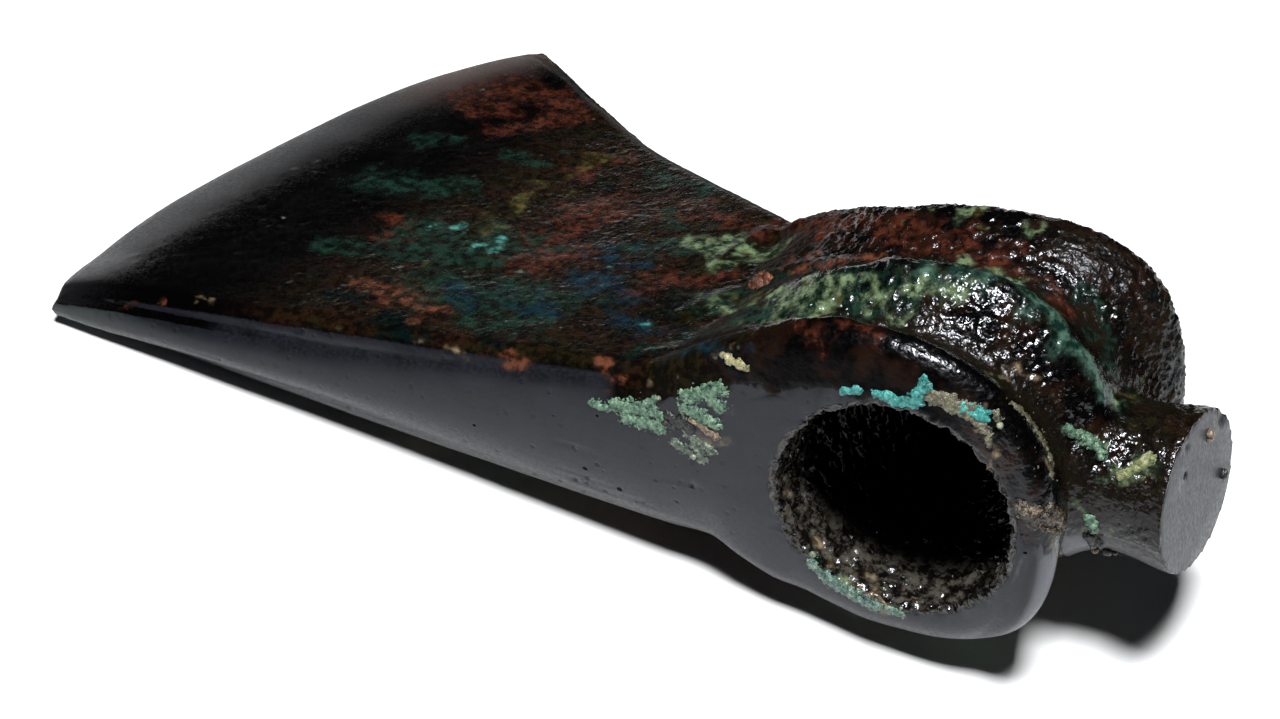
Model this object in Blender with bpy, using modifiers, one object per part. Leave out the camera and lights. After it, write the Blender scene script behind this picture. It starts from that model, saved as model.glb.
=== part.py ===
"""A cast shaft-hole axe head: a flaring blade, a ribbed socket and a short round knob behind it.

The axe is shaped in its own frame. The shaft hole runs along Y, its near mouth lies in the plane
Y = 0, the blade reaches to -X, the knob to +X, and the blade's middle plane is Z = 0.
It is then laid at rest on one broad side, with the ground at Z = 0 and its middle over the origin.
All lengths are metres.
"""
import math

import bmesh
import bpy
import numpy as np
from mathutils import Matrix, Vector

# blade, seen from its broad side
near_corner_reach = 0.1150      # shaft hole's axis to the blade's near corner
far_corner_reach = 0.0867       # shaft hole's axis to the blade's far corner
blade_spread = 0.0856           # near side to the far corner, across the blade
edge_bulge = 0.0089             # how far the cutting edge swells past its chord
edge_fullness = 3.0             # how evenly the swelling is spread along the edge
bulge_power = 3.0               # how close to the edge the swelling starts
throat_start = 0.0132           # where the far side starts to leave the socket's far mouth
flare_power = 1.13              # how late the far side flares out

# blade, through its thickness
edge_thickness = 0.0012         # blunt cutting edge
near_corner_thickness = 0.0042  # the edge's thickness at the rounded near corner
near_corner_share = 0.14        # share of the edge over which it thins from that
bevel_slope = 0.42              # half thickness gained per length, along the worn edge
wedge_start = 0.0030            # half thickness of the wedge, traced back to the edge
wedge_slope = 0.101             # half thickness gained per length, along the wedge
bevel_blend = 0.0020            # softness of the line between bevel and wedge
back_thinning = 0.62            # share of the wedge's thickness lost at the blade's far side
back_thinning_power = 1.5       # how late across the blade it is lost
thinning_start = 0.0300         # distance from the shaft hole's axis where the thinning starts
thinning_end = 0.0680           # and where it is complete
blade_droop = 0.0026            # the edge's near corner hangs this much below the middle plane
droop_power = 3.0               # how soon behind the socket the blade hangs
far_lift = 0.45                 # share of that lost at the far corner
near_side_round = 0.0036        # rounding of the smooth near side into the broad faces
far_side_round = 0.0026         # rounding of the far side into the broad faces

# socket: ribs and grooves in turn, from the near mouth to the far one
shaft_hole_radius = 0.0140      # at the near mouth
far_hole_radius = 0.0119        # at the far mouth
socket_length = 0.0336          # near mouth to far mouth
crest_places = (0.0034, 0.0080, 0.0158, 0.0206, 0.0312)
upper_heights = (0.0221, 0.0192, 0.0244, 0.0205, 0.0231)    # from the middle plane
upper_reaches = (0.0187, 0.0184, 0.0217, 0.0214, 0.0251)    # towards the knob
upper_leans = (-0.0040, -0.0020, 0.0025, 0.0030, 0.0048)    # top of each section, to the knob
upper_fullness = (2.1, 2.0, 2.0, 2.2, 2.7)                  # 2 is an ellipse, more is squarer
upper_necks = (0.0275, 0.0280, 0.0300, 0.0315, 0.0339)      # from the lean towards the blade
lower_heights = (0.0194, 0.0178, 0.0228, 0.0196, 0.0220)
lower_reaches = (0.0190, 0.0172, 0.0172, 0.0172, 0.0215)
lower_leans = (0.0010, 0.0010, 0.0010, 0.0015, 0.0020)
lower_fullness = (2.5, 2.5, 2.5, 2.5, 2.6)
lower_necks = (0.0245, 0.0250, 0.0250, 0.0250, 0.0260)
seam_turn = 0.6                 # angle over which the lower half's reach leaves the upper one's
lean_power = 4.0                # how soon along the blade the lean is lost
neck_blend = 0.0080             # softness of the hollow between socket and wedge
wedge_root = 0.0160             # length over which the wedge dies away inside the socket

# knob
knob_reach = 0.0305             # shaft hole's axis to the middle of the cut end
knob_place = 0.0179             # near mouth to the knob's axis
knob_end_radius = 0.0098
knob_neck_radius = 0.0089
knob_root_radius = 0.0109
knob_root_reach = 0.0180        # where the knob leaves the socket
knob_neck_reach = 0.0235        # where it is narrowest
knob_rim = 0.0004               # straight rim at its end
knob_root_power = 2.2           # how late the root flares out
knob_cut_turn = math.radians(-10.0)   # the cut end faces a little to the near side
knob_cut_tip = math.radians(-6.0)     # and a little upwards

# fineness of the facets
arc_steps = 15
blade_steps = 32
edge_crowding = 1.5             # how much closer the blade's steps stand near the edge
roll_steps = 4
rib_steps = 4
hole_sides = 48
knob_sides = 32
knob_steps = 5
past = 0.0050                   # how far a cutter runs past what it cuts
knob_root_depth = 0.0010        # how far the knob's form starts outside the shaft hole's wall
weld = 1e-6


def ease(t):
    """Rises from 0 to 1 with level ends."""
    t = np.clip(t, 0.0, 1.0)
    return t * t * (3.0 - 2.0 * t)


def soft_max(a, b, width):
    """The larger of two values, rounded where they come closer than width."""
    return np.maximum(a, b) + np.maximum(width - np.abs(a - b), 0.0) ** 2 / (4.0 * width)


def soft_min(a, b, width):
    """The smaller of two values, rounded where they come closer than width."""
    return -soft_max(-a, -b, width)


def socket_rows(heights, reaches, leans, fullness, necks):
    """Place, height, reach, seam, lean, fullness and neck of each section, and its rim's sink.

    The rims roll over in quarter rounds, and each crest and groove is reached with a level end.
    The seam is the reach that both halves share in the middle plane.
    """
    columns = [crest_places, heights, reaches, upper_reaches, leans, fullness, necks]
    stops = np.array(columns).T
    rows = []
    first, last = stops[0], stops[-1]
    for step in range(roll_steps):
        angle = step / roll_steps * math.pi / 2.0
        sink = near_side_round * (1.0 - math.sin(angle))
        place = first[0] * (1.0 - math.cos(angle))
        rows.append((place, *(first[1:4] - sink), *first[4:], sink))
    rows.append((*first, 0.0))
    for stop, next_stop in zip(stops, stops[1:]):
        for step in range(1, rib_steps + 1):
            part = step / rib_steps
            row = stop + (next_stop - stop) * float(ease(part))
            row[0] = stop[0] + (next_stop[0] - stop[0]) * part
            rows.append((*row, 0.0))
    for step in range(1, roll_steps + 1):
        angle = step / roll_steps * math.pi / 2.0
        sink = far_side_round * (1.0 - math.cos(angle))
        place = last[0] + (socket_length - last[0]) * math.sin(angle)
        rows.append((place, *(last[1:4] - sink), *last[4:], sink))
    return rows


def blade_plan(share, place):
    """X and Y of the blade at a share of the way to the cutting edge, on the row of one place.

    Lines fan out from the near side to the far side. The roundings keep their true widths, and
    the rows between them spread with the blade.
    """
    near = np.array([-near_corner_reach, 0.0]) * share[:, None]
    far_x = far_corner_reach * share
    flare = np.clip((far_x - throat_start) / (far_corner_reach - throat_start), 0.0, None)
    far_y = socket_length + (blade_spread - socket_length) * flare ** flare_power
    across = np.stack([-far_x, far_y], 1) - near
    width = np.linalg.norm(across, axis=1)
    first, last = crest_places[0], crest_places[-1]
    spread = (width - socket_length + last - first) / (last - first)
    way = first + (place - first) * spread
    if place < first:
        way = np.full_like(width, place)
    if place > last:
        way = width - (socket_length - place)
    part = way / width
    chord = np.array([near_corner_reach - far_corner_reach, blade_spread])
    outward = np.array([-chord[1], chord[0]]) / np.linalg.norm(chord)
    swell = edge_bulge * (1.0 - np.abs(2.0 * part - 1.0) ** edge_fullness) * share ** bulge_power
    return near + across * part[:, None] + swell[:, None] * outward, part


def blade_thickness(share, part, x):
    """Half thickness of the blade before its sides are rounded: a worn bevel, then a wedge."""
    from_edge = (1.0 - share) * (near_corner_reach + (far_corner_reach - near_corner_reach) * part)
    away = ease((-x - thinning_start) / (thinning_end - thinning_start))
    wedge = wedge_start + wedge_slope * from_edge
    wedge = wedge * (1.0 - back_thinning * away * part ** back_thinning_power)
    blunt = 1.0 - ease(part / near_corner_share)
    edge = edge_thickness + (near_corner_thickness - edge_thickness) * blunt
    bevel = edge / 2.0 + bevel_slope * from_edge
    return soft_min(bevel, wedge, bevel_blend)


def half_form(sections, side):
    """Rows of points over one half of the axe, the upper one for side 1 and the lower for -1.

    Each row starts behind the socket, runs over it as a rounded arc, and goes on along the blade
    to the cutting edge. Both ends of every row lie in the middle plane.
    """
    angles = np.linspace(0.0, math.pi / 2.0, arc_steps + 1)
    even = np.linspace(0.0, 1.0, blade_steps + 1)[1:]
    rounded = edge_thickness / 2.0 / near_corner_reach
    share = np.append((1.0 - (1.0 - even) ** edge_crowding) * (1.0 - rounded), 1.0)
    rows = []
    for place, height, reach, seam, lean, fullness, neck, sink in sections:
        reaches = seam + (reach - seam) * ease(angles / seam_turn)
        arc = np.stack([
            lean + (reaches - lean) * np.abs(np.cos(angles)) ** (2.0 / fullness),
            np.full_like(angles, place),
            height * np.sin(angles) ** (2.0 / fullness),
        ], 1)
        plan, part = blade_plan(share, place)
        plan[:, 0] += lean * (1.0 - share) ** lean_power
        x = plan[:, 0]
        wedge = blade_thickness(share, part, x) * ease(-x / wedge_root)
        wedge = wedge - np.minimum(sink, wedge / 2.0)
        way = (lean - x) / neck
        socket = height * (np.sqrt(np.maximum(1.0 - way ** 2, 0.0)) - np.maximum(way - 1.0, 0.0))
        top = soft_max(wedge, socket, neck_blend)
        top[-1] = 0.0
        droop = blade_droop * (1.0 - (1.0 - share) ** droop_power) * (1.0 - far_lift * part)
        arc[0, 2] = 0.0
        arc[:, 2] *= side
        rows.append(np.vstack([arc, np.column_stack([plan, top * side - droop])]))
    return np.array(rows)


def new_collection(name):
    collection = bpy.data.collections.new(name)
    bpy.context.scene.collection.children.link(collection)
    return collection


def move_to(thing, collection, name):
    """Gives an object its name and its one collection."""
    thing.name = name
    thing.data.name = name
    for owner in list(thing.users_collection):
        owner.objects.unlink(thing)
    collection.objects.link(thing)
    return thing


def as_cutter(thing):
    thing.hide_render = True
    thing.display_type = "WIRE"
    return thing


def add_sheet(form, rows):
    """Four-sided faces between neighbouring rows of points."""
    row_count, column_count = rows.shape[:2]
    points = [form.verts.new(point) for point in rows.reshape(-1, 3)]
    for row in range(row_count - 1):
        for column in range(column_count - 1):
            corner = row * column_count + column
            form.faces.new((
                points[corner],
                points[corner + 1],
                points[corner + column_count + 1],
                points[corner + column_count],
            ))


def make_body(collection):
    """The two halves as lofts, joined all round, with the flat near and far sides between them."""
    above = socket_rows(upper_heights, upper_reaches, upper_leans, upper_fullness, upper_necks)
    below = socket_rows(lower_heights, lower_reaches, lower_leans, lower_fullness, lower_necks)
    upper = half_form(above, 1.0)
    lower = half_form(below, -1.0)
    form = bmesh.new()
    add_sheet(form, upper)
    add_sheet(form, lower[::-1])
    add_sheet(form, np.array([lower[0], upper[0]]))
    add_sheet(form, np.array([upper[-1], lower[-1]]))
    bmesh.ops.remove_doubles(form, verts=form.verts, dist=weld)
    bmesh.ops.dissolve_degenerate(form, edges=form.edges, dist=weld)
    bmesh.ops.recalc_face_normals(form, faces=form.faces)
    mesh = bpy.data.meshes.new("axe_head")
    form.to_mesh(mesh)
    form.free()
    body = bpy.data.objects.new("axe_head", mesh)
    collection.objects.link(body)
    return body


def make_knob(collection):
    """The knob as a turned form whose axis is local Z, laid along X."""
    rim_reach = knob_reach - knob_rim
    profile = [
        (0.0, knob_reach + past),
        (knob_end_radius, knob_reach + past),
        (knob_end_radius, rim_reach),
    ]
    for step in range(1, knob_steps):
        part = step / knob_steps
        radius = knob_end_radius + (knob_neck_radius - knob_end_radius) * float(ease(part))
        profile.append((radius, rim_reach - (rim_reach - knob_neck_reach) * part))
    for step in range(knob_steps + 1):
        part = step / knob_steps
        radius = knob_neck_radius + (knob_root_radius - knob_neck_radius) * part ** knob_root_power
        profile.append((radius, knob_neck_reach - (knob_neck_reach - knob_root_reach) * part))
    start = shaft_hole_radius + knob_root_depth
    profile += [(knob_root_radius, start), (0.0, start)]
    mesh = bpy.data.meshes.new("knob_form")
    edges = [(i, i + 1) for i in range(len(profile) - 1)]
    mesh.from_pydata([(radius, 0.0, height) for radius, height in profile], edges, [])
    knob = bpy.data.objects.new("knob_form", mesh)
    collection.objects.link(knob)
    turn = knob.modifiers.new("turned", "SCREW")
    turn.steps = knob_sides
    turn.render_steps = knob_sides
    turn.use_merge_vertices = True
    turn.merge_threshold = weld
    knob.rotation_euler = (0.0, math.pi / 2.0, 0.0)
    knob.location = (0.0, knob_place, 0.0)
    return as_cutter(knob)


def make_knob_cut(collection):
    """A block whose face trims the knob's end slightly out of square."""
    side = 4.0 * knob_end_radius
    bpy.ops.mesh.primitive_cube_add(size=side)
    block = move_to(bpy.context.object, collection, "knob_end_cut")
    block.data.transform(Matrix.Translation((side / 2.0, 0.0, 0.0)))
    block.rotation_euler = (0.0, knob_cut_tip, knob_cut_turn)
    block.location = (knob_reach, knob_place, 0.0)
    return as_cutter(block)


def make_shaft_hole(collection):
    """A cone, as the hole narrows evenly from the near mouth to the far one."""
    slope = (shaft_hole_radius - far_hole_radius) / socket_length
    bpy.ops.mesh.primitive_cone_add(
        vertices=hole_sides,
        radius1=far_hole_radius - slope * past,
        radius2=shaft_hole_radius + slope * past,
        depth=socket_length + 2.0 * past,
    )
    hole = move_to(bpy.context.object, collection, "shaft_hole")
    hole.rotation_euler = (math.pi / 2.0, 0.0, 0.0)
    hole.location = (0.0, socket_length / 2.0, 0.0)
    return as_cutter(hole)


def combine(body, other, operation):
    step = body.modifiers.new(other.name, "BOOLEAN")
    step.operation = operation
    step.object = other


def bronze():
    """Dark, waxed bronze with brown and green in it."""
    material = bpy.data.materials.new("patinated_bronze")
    material.use_nodes = True
    shader = material.node_tree.nodes["Principled BSDF"]
    shader.inputs["Base Color"].default_value = (0.055, 0.050, 0.042, 1.0)
    shader.inputs["Metallic"].default_value = 0.55
    shader.inputs["Roughness"].default_value = 0.38
    return material


def resting_matrix(body):
    """The turn and shift that lay the axe on the ground as its weight leaves it.

    Of the flat sides of a skin stretched over the axe, it lies on the one under its centre of mass
    that faces most nearly down. The middle of its outer box then stands over the origin.
    """
    bpy.context.view_layer.update()
    solid = bmesh.new()
    solid.from_object(body, bpy.context.evaluated_depsgraph_get())
    bmesh.ops.triangulate(solid, faces=solid.faces)
    volume = 0.0
    moment = Vector()
    for face in solid.faces:
        a, b, c = (vertex.co for vertex in face.verts)
        part = a.dot(b.cross(c)) / 6.0
        volume += part
        moment += part * (a + b + c) / 4.0
    centre = moment / volume
    hull = bmesh.ops.convex_hull(solid, input=solid.verts, use_existing_faces=False)["geom"]
    best = None
    for face in hull:
        if not isinstance(face, bmesh.types.BMFace):
            continue
        a, b, c = (vertex.co for vertex in face.verts)
        normal = (b - a).cross(c - a)
        if normal.length < weld ** 2:
            continue
        normal.normalize()
        if normal.dot(a - centre) < 0.0:
            normal.negate()
        foot = centre + normal * normal.dot(a - centre)
        sides = [(q - p).cross(foot - p).dot(normal) for p, q in ((a, b), (b, c), (c, a))]
        under = min(sides) >= 0.0 or max(sides) <= 0.0
        if under and (best is None or normal.z < best[0].z):
            best = (normal, a.copy())
    normal, contact = best
    turn = normal.rotation_difference(Vector((0.0, 0.0, -1.0))).to_matrix().to_4x4()
    turned = np.array([turn @ vertex.co for vertex in solid.verts])
    solid.free()
    middle = (turned.min(axis=0) + turned.max(axis=0)) / 2.0
    return Matrix.Translation((-middle[0], -middle[1], -(turn @ contact).z)) @ turn


for thing in list(bpy.data.objects):
    bpy.data.objects.remove(thing)

axe = new_collection("bronze_axe_head")
cutters = new_collection("cutters")

axe_head = make_body(axe)
knob_form = make_knob(cutters)
knob_end_cut = make_knob_cut(cutters)
shaft_hole = make_shaft_hole(cutters)
combine(axe_head, knob_form, "UNION")
combine(axe_head, knob_end_cut, "DIFFERENCE")
combine(axe_head, shaft_hole, "DIFFERENCE")
axe_head.data.materials.append(bronze())
axe_head.data.shade_smooth()
axe_head.data.set_sharp_from_angle(angle=math.radians(35.0))

rest = bpy.data.objects.new("lying_at_rest", None)
axe.objects.link(rest)
rest_matrix = resting_matrix(axe_head)
for thing in (axe_head, knob_form, knob_end_cut, shaft_hole):
    thing.parent = rest
rest.matrix_world = rest_matrix
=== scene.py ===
import math

import bpy
import bmesh
import numpy as np
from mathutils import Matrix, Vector
from mathutils.bvhtree import BVHTree


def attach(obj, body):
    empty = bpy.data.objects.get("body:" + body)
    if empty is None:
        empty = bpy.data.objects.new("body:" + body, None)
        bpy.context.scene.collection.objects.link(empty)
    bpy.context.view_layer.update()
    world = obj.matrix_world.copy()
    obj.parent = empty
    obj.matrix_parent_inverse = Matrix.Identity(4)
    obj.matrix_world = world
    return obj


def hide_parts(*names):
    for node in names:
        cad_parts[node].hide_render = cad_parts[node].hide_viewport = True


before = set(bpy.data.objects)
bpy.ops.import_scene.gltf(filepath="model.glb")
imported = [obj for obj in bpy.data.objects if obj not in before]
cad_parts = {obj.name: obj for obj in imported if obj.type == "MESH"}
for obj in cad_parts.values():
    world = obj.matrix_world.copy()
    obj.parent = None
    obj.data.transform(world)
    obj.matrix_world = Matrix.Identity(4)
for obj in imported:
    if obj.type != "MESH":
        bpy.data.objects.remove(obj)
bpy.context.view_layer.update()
print("frame loaded")

# The axe is shaped in its own frame: shaft hole along Y from the near mouth at Y = 0, blade to -X,
# knob to +X. It is laid on the table at the very end. Metres, unless a name says otherwise.
lie = {
    "downward": (-0.161571, 0.063411, -0.984822),   # the axe's own direction that faces the table
    "nearMouth": (0.040505, -0.041933, 0.023918),   # where the middle of the near mouth comes to be
}

blade = {
    "nearCornerReach": 0.1150,      # shaft hole's axis to the near corner
    "farCornerReach": 0.0867,       # and to the far corner
    "spread": 0.0856,               # near side to the far corner
    "edgeBulge": 0.0089,            # how far the cutting edge swells past its chord
    "edgeFullness": 3.0,
    "bulgePower": 3.0,
    "throatStart": 0.0132,          # where the far side leaves the socket
    "flarePower": 1.13,
    "edgeThickness": 0.0012,
    "nearCornerThickness": 0.0042,
    "nearCornerShare": 0.14,
    "bevelSlope": 0.42,
    "wedgeStart": 0.0030,
    "wedgeSlope": 0.101,
    "bevelBlend": 0.0020,
    "backThinning": 0.62,           # share of thickness lost towards the far side
    "backThinningPower": 1.5,
    "thinningStart": 0.0300,
    "thinningEnd": 0.0680,
    "droop": 0.0026,                # the edge hangs below the middle plane, less at the far corner
    "droopPower": 3.0,
    "farLift": 0.45,
}

socket = {
    "holeRadius": 0.0140,           # at the near mouth
    "farHoleRadius": 0.0119,        # the hole narrows towards the far mouth
    "length": 0.0336,
    "mouthWear": 0.0009,            # rounding of the hole's two mouths
    "holeOverrun": 0.0060,          # how far the cutting form runs past each face
    "nearRound": 0.0036,            # rounding of the smooth near side
    "farRound": 0.0026,
    "seamTurn": 0.6,                # angle over which the lower half leaves the upper one's reach
    "leanPower": 4.0,
    "neckBlend": 0.0080,
    "wedgeRoot": 0.0160,
    # crest, groove, crest, groove, flange: along the hole, then for each half how high they stand,
    # how far they reach to the knob, where each is highest, how square, and how far they run out
    "places": (0.0034, 0.0080, 0.0158, 0.0206, 0.0312),
    "upper": {
        "heights": (0.0221, 0.0192, 0.0244, 0.0205, 0.0231),
        "reaches": (0.0187, 0.0184, 0.0217, 0.0214, 0.0251),
        "leans": (-0.0040, -0.0020, 0.0025, 0.0030, 0.0048),
        "fullness": (2.1, 2.0, 2.0, 2.2, 2.7),
        "necks": (0.0275, 0.0280, 0.0300, 0.0315, 0.0339),
    },
    "lower": {
        "heights": (0.0194, 0.0178, 0.0228, 0.0196, 0.0220),
        "reaches": (0.0190, 0.0172, 0.0172, 0.0172, 0.0215),
        "leans": (0.0010, 0.0010, 0.0010, 0.0015, 0.0020),
        "fullness": (2.5, 2.5, 2.5, 2.5, 2.6),
        "necks": (0.0245, 0.0250, 0.0250, 0.0250, 0.0260),
    },
}

knob = {
    "reach": 0.0305,
    "place": 0.0179,
    "endRadius": 0.0098,
    "neckRadius": 0.0089,
    "rootRadius": 0.0109,
    "rootReach": 0.0180,
    "neckReach": 0.0235,
    "rim": 0.0004,
    "rootPower": 2.2,
    "start": 0.0150,
    "overrun": 0.0040,              # before its end is cut
    "turn": math.radians(-10.0),    # the cut end faces a little to the near side
    "tip": math.radians(-6.0),      # and a little upwards
}

fineness = {
    "cell": 0.00030,     # size of the skin's cells before thinning
    "triangles": 192000,
    "crustCell": 0.00017,
    "sides": 160,               # of the hole and the knob
}


def easeInOut(t):
    # level at 0 and 1, and a smooth rise between
    t = np.clip(t, 0.0, 1.0)
    return t * t * (3.0 - 2.0 * t)


def rise(value, start, width):
    # 0 up to the start, 1 from one width further on
    return easeInOut((value - start) / width)


def fall(value, end, width):
    # 1 up to one width before the end, 0 from the end on
    return easeInOut((end - value) / width)


def hump(value, middle, half):
    # 1 in the middle, 0 from a half width away
    return easeInOut(1.0 - np.abs(value - middle) / half)


def softMax(a, b, width):
    # the larger of two values, rounded where they come closer than width
    return np.maximum(a, b) + np.maximum(width - np.abs(a - b), 0.0) ** 2 / (4.0 * width)


def softMin(a, b, width):
    return -softMax(-a, -b, width)


def randomParts(home, key, count):
    # For each lattice corner, numbers from 0 to 65535 that depend on nothing but the corner and the
    # key: its three counts are mixed into one, which is then multiplied and shifted for each number.
    mixed = home.astype(np.uint64) * np.array([73856093, 19349663, 83492791], np.uint64)
    mixed = mixed[:, 0] ^ mixed[:, 1] ^ mixed[:, 2] ^ np.uint64(key)
    parts = []
    for number in range(count):
        mixed = (mixed ^ (mixed >> np.uint64(15))) * np.uint64(0x2C1B3C6D297A2D39)
        mixed = mixed ^ (mixed >> np.uint64(29))
        parts.append((mixed & np.uint64(0xFFFF)).astype(float))
    return np.stack(parts, 1)


def cornerNoise(points, cell, seed):
    # Smooth noise from about -1 to 1: each corner of a lattice has a random slope, and the eight
    # slopes round a point are blended with an eased weight.
    grid = points / cell + seed * 17.31
    low = np.floor(grid).astype(np.int64)
    part = grid - low
    weight = part ** 3 * (part * (part * 6.0 - 15.0) + 10.0)
    total = np.zeros(len(points))
    for corner in range(8):
        step = np.array([corner & 1, corner >> 1 & 1, corner >> 2 & 1])
        slope = randomParts(low + step, seed * 2654435761 + 977, 3) / 32767.5 - 1.0
        height = (slope * (part - step)).sum(axis=1)
        total += height * np.prod(np.where(step, weight, 1.0 - weight), axis=1)
    return total * 1.6


def ridgeNoise(points, cell, seed):
    # sharp crests where the smooth noise passes through nought, from -1 to 1
    return 2.0 * (1.0 - np.minimum(np.abs(cornerNoise(points, cell, seed)) * 1.6, 1.0)) ** 2 - 1.0


def pitNoise(points, cell, seed, size):
    # Round pits, 1 in the middle of each: one random spot per cell, and the nearest one counts.
    grid = points / cell + seed * 5.71
    low = np.floor(grid).astype(np.int64)
    nearest = np.full(len(points), 9.0)
    for corner in range(27):
        step = np.array([corner % 3, corner // 3 % 3, corner // 9]) - 1
        home = low + step
        spot = randomParts(home, seed * 40503 + 11, 3) / 65535.0
        gap = np.linalg.norm(home + spot - grid, axis=1) / (size * (0.5 + spot[:, 0]))
        nearest = np.minimum(nearest, gap)
    return easeInOut(1.0 - nearest)


def socketSections(half, rollSteps, ribSteps):
    # One row per section across the socket: place, height, reach, seam (the reach both halves share),
    # lean, fullness, neck and the sink of the rim's rounding. The rims roll over in quarter rounds,
    # and every value eases from stop to stop.
    columns = [socket["places"], half["heights"], half["reaches"], socket["upper"]["reaches"]]
    stops = np.array(columns + [half["leans"], half["fullness"], half["necks"]]).T
    first, last = stops[0], stops[-1]
    angle = np.linspace(0.0, math.pi / 2.0, rollSteps + 1)
    nearSink = socket["nearRound"] * (1.0 - np.sin(angle))
    near = np.column_stack([np.repeat(first[None], rollSteps + 1, 0), nearSink])
    near[:, 0] = first[0] * (1.0 - np.cos(angle))
    near[:, 1:4] -= nearSink[:, None]
    rows = [near]
    part = np.linspace(0.0, 1.0, ribSteps + 1)[1:]
    for stop, nextStop in zip(stops, stops[1:]):
        span = stop + (nextStop - stop) * easeInOut(part)[:, None]
        span[:, 0] = stop[0] + (nextStop[0] - stop[0]) * part
        rows.append(np.column_stack([span, np.zeros(ribSteps)]))
    farSink = socket["farRound"] * (1.0 - np.cos(angle[1:]))
    far = np.column_stack([np.repeat(last[None], rollSteps, 0), farSink])
    far[:, 0] = last[0] + (socket["length"] - last[0]) * np.sin(angle[1:])
    far[:, 1:4] -= farSink[:, None]
    rows.append(far)
    return np.concatenate(rows)


def bladePlan(share, place):
    # X, Y and part of the way across, for shares of the way to the cutting edge (columns) and places
    # across the socket (rows). Lines fan out from the near side to the far side; the roundings keep
    # their true widths, and the edge swells outwards.
    share, place = share[None, :], place[:, None]
    nearX = -blade["nearCornerReach"] * share
    farX = -blade["farCornerReach"] * share
    flare = (-farX - blade["throatStart"]) / (blade["farCornerReach"] - blade["throatStart"])
    flare = np.clip(flare, 0.0, None) ** blade["flarePower"]
    farY = socket["length"] + (blade["spread"] - socket["length"]) * flare
    acrossX, acrossY = farX - nearX, farY
    width = np.hypot(acrossX, acrossY)
    first, last = socket["places"][0], socket["places"][-1]
    spread = (width - socket["length"] + last - first) / (last - first)
    way = first + (place - first) * spread
    way = np.where(place < first, place + 0.0 * width, way)
    way = np.where(place > last, width - (socket["length"] - place), way)
    part = way / width
    chord = np.array([blade["nearCornerReach"] - blade["farCornerReach"], blade["spread"]])
    chord = chord / np.linalg.norm(chord)
    swell = 1.0 - np.abs(2.0 * part - 1.0) ** blade["edgeFullness"]
    swell = blade["edgeBulge"] * swell * share ** blade["bulgePower"]
    return nearX + acrossX * part - swell * chord[1], acrossY * part + swell * chord[0], part


def bladeHalfThickness(share, part, x):
    # a worn bevel along the edge, then a wedge, thinner towards the far side
    reach = blade["nearCornerReach"] + (blade["farCornerReach"] - blade["nearCornerReach"]) * part
    fromEdge = (1.0 - share[None, :]) * reach
    away = (-x - blade["thinningStart"]) / (blade["thinningEnd"] - blade["thinningStart"])
    wedge = blade["wedgeStart"] + blade["wedgeSlope"] * fromEdge
    wedge = wedge * (1.0 - blade["backThinning"] * easeInOut(away) * part ** blade["backThinningPower"])
    blunt = 1.0 - easeInOut(part / blade["nearCornerShare"])
    edge = blade["edgeThickness"] + (blade["nearCornerThickness"] - blade["edgeThickness"]) * blunt
    return softMin(edge / 2.0 + blade["bevelSlope"] * fromEdge, wedge, blade["bevelBlend"])


def halfSurface(half, side):
    # One half of the axe as a grid of points. Along a row: a squared quarter ellipse over the socket,
    # then the softer of the socket's own falling arc and the blade's wedge, to the cutting edge.
    sections = socketSections(half, 8, 18).T
    place, height, reach, seam, lean, fullness, neck, sink = (column[:, None] for column in sections)
    angle = np.linspace(0.0, math.pi / 2.0, 61)[None, :]
    reach = seam + (reach - seam) * easeInOut(angle / socket["seamTurn"])
    arcX = lean + (reach - lean) * np.abs(np.cos(angle)) ** (2.0 / fullness)
    arcZ = height * np.sin(angle) ** (2.0 / fullness)
    arcZ[:, 0] = 0.0
    rounded = blade["edgeThickness"] / 2.0 / blade["nearCornerReach"]
    share = np.append((1.0 - (1.0 - np.linspace(0.0, 1.0, 171)[1:]) ** 1.25) * (1.0 - rounded), 1.0)
    x, y, part = bladePlan(share, place[:, 0])
    x = x + lean * (1.0 - share[None, :]) ** socket["leanPower"]
    wedge = bladeHalfThickness(share, part, x) * easeInOut(-x / socket["wedgeRoot"])
    wedge = wedge - np.minimum(sink, wedge / 2.0)
    way = (lean - x) / neck
    ribs = height * (np.sqrt(np.maximum(1.0 - way ** 2, 0.0)) - np.maximum(way - 1.0, 0.0))
    top = softMax(wedge, ribs, socket["neckBlend"])
    top[:, -1] = 0.0
    arc = np.stack([arcX, place + 0.0 * arcX, arcZ * side], 2)
    droop = 1.0 - (1.0 - share[None, :]) ** blade["droopPower"]
    droop = blade["droop"] * droop * (1.0 - blade["farLift"] * part)
    run = np.stack([x, y, top * side - droop], 2)
    return np.concatenate([arc, run], 1)


def ringSheet(radius, along, sides):
    # a surface round the local axis: radius and distance along it (rows), turned through the circle
    angle = np.linspace(0.0, 2.0 * math.pi, sides + 1)[None, :]
    radius, along = radius[:, None], along[:, None]
    return np.stack([along + 0.0 * angle, radius * np.cos(angle), radius * np.sin(angle)], 2)


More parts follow.
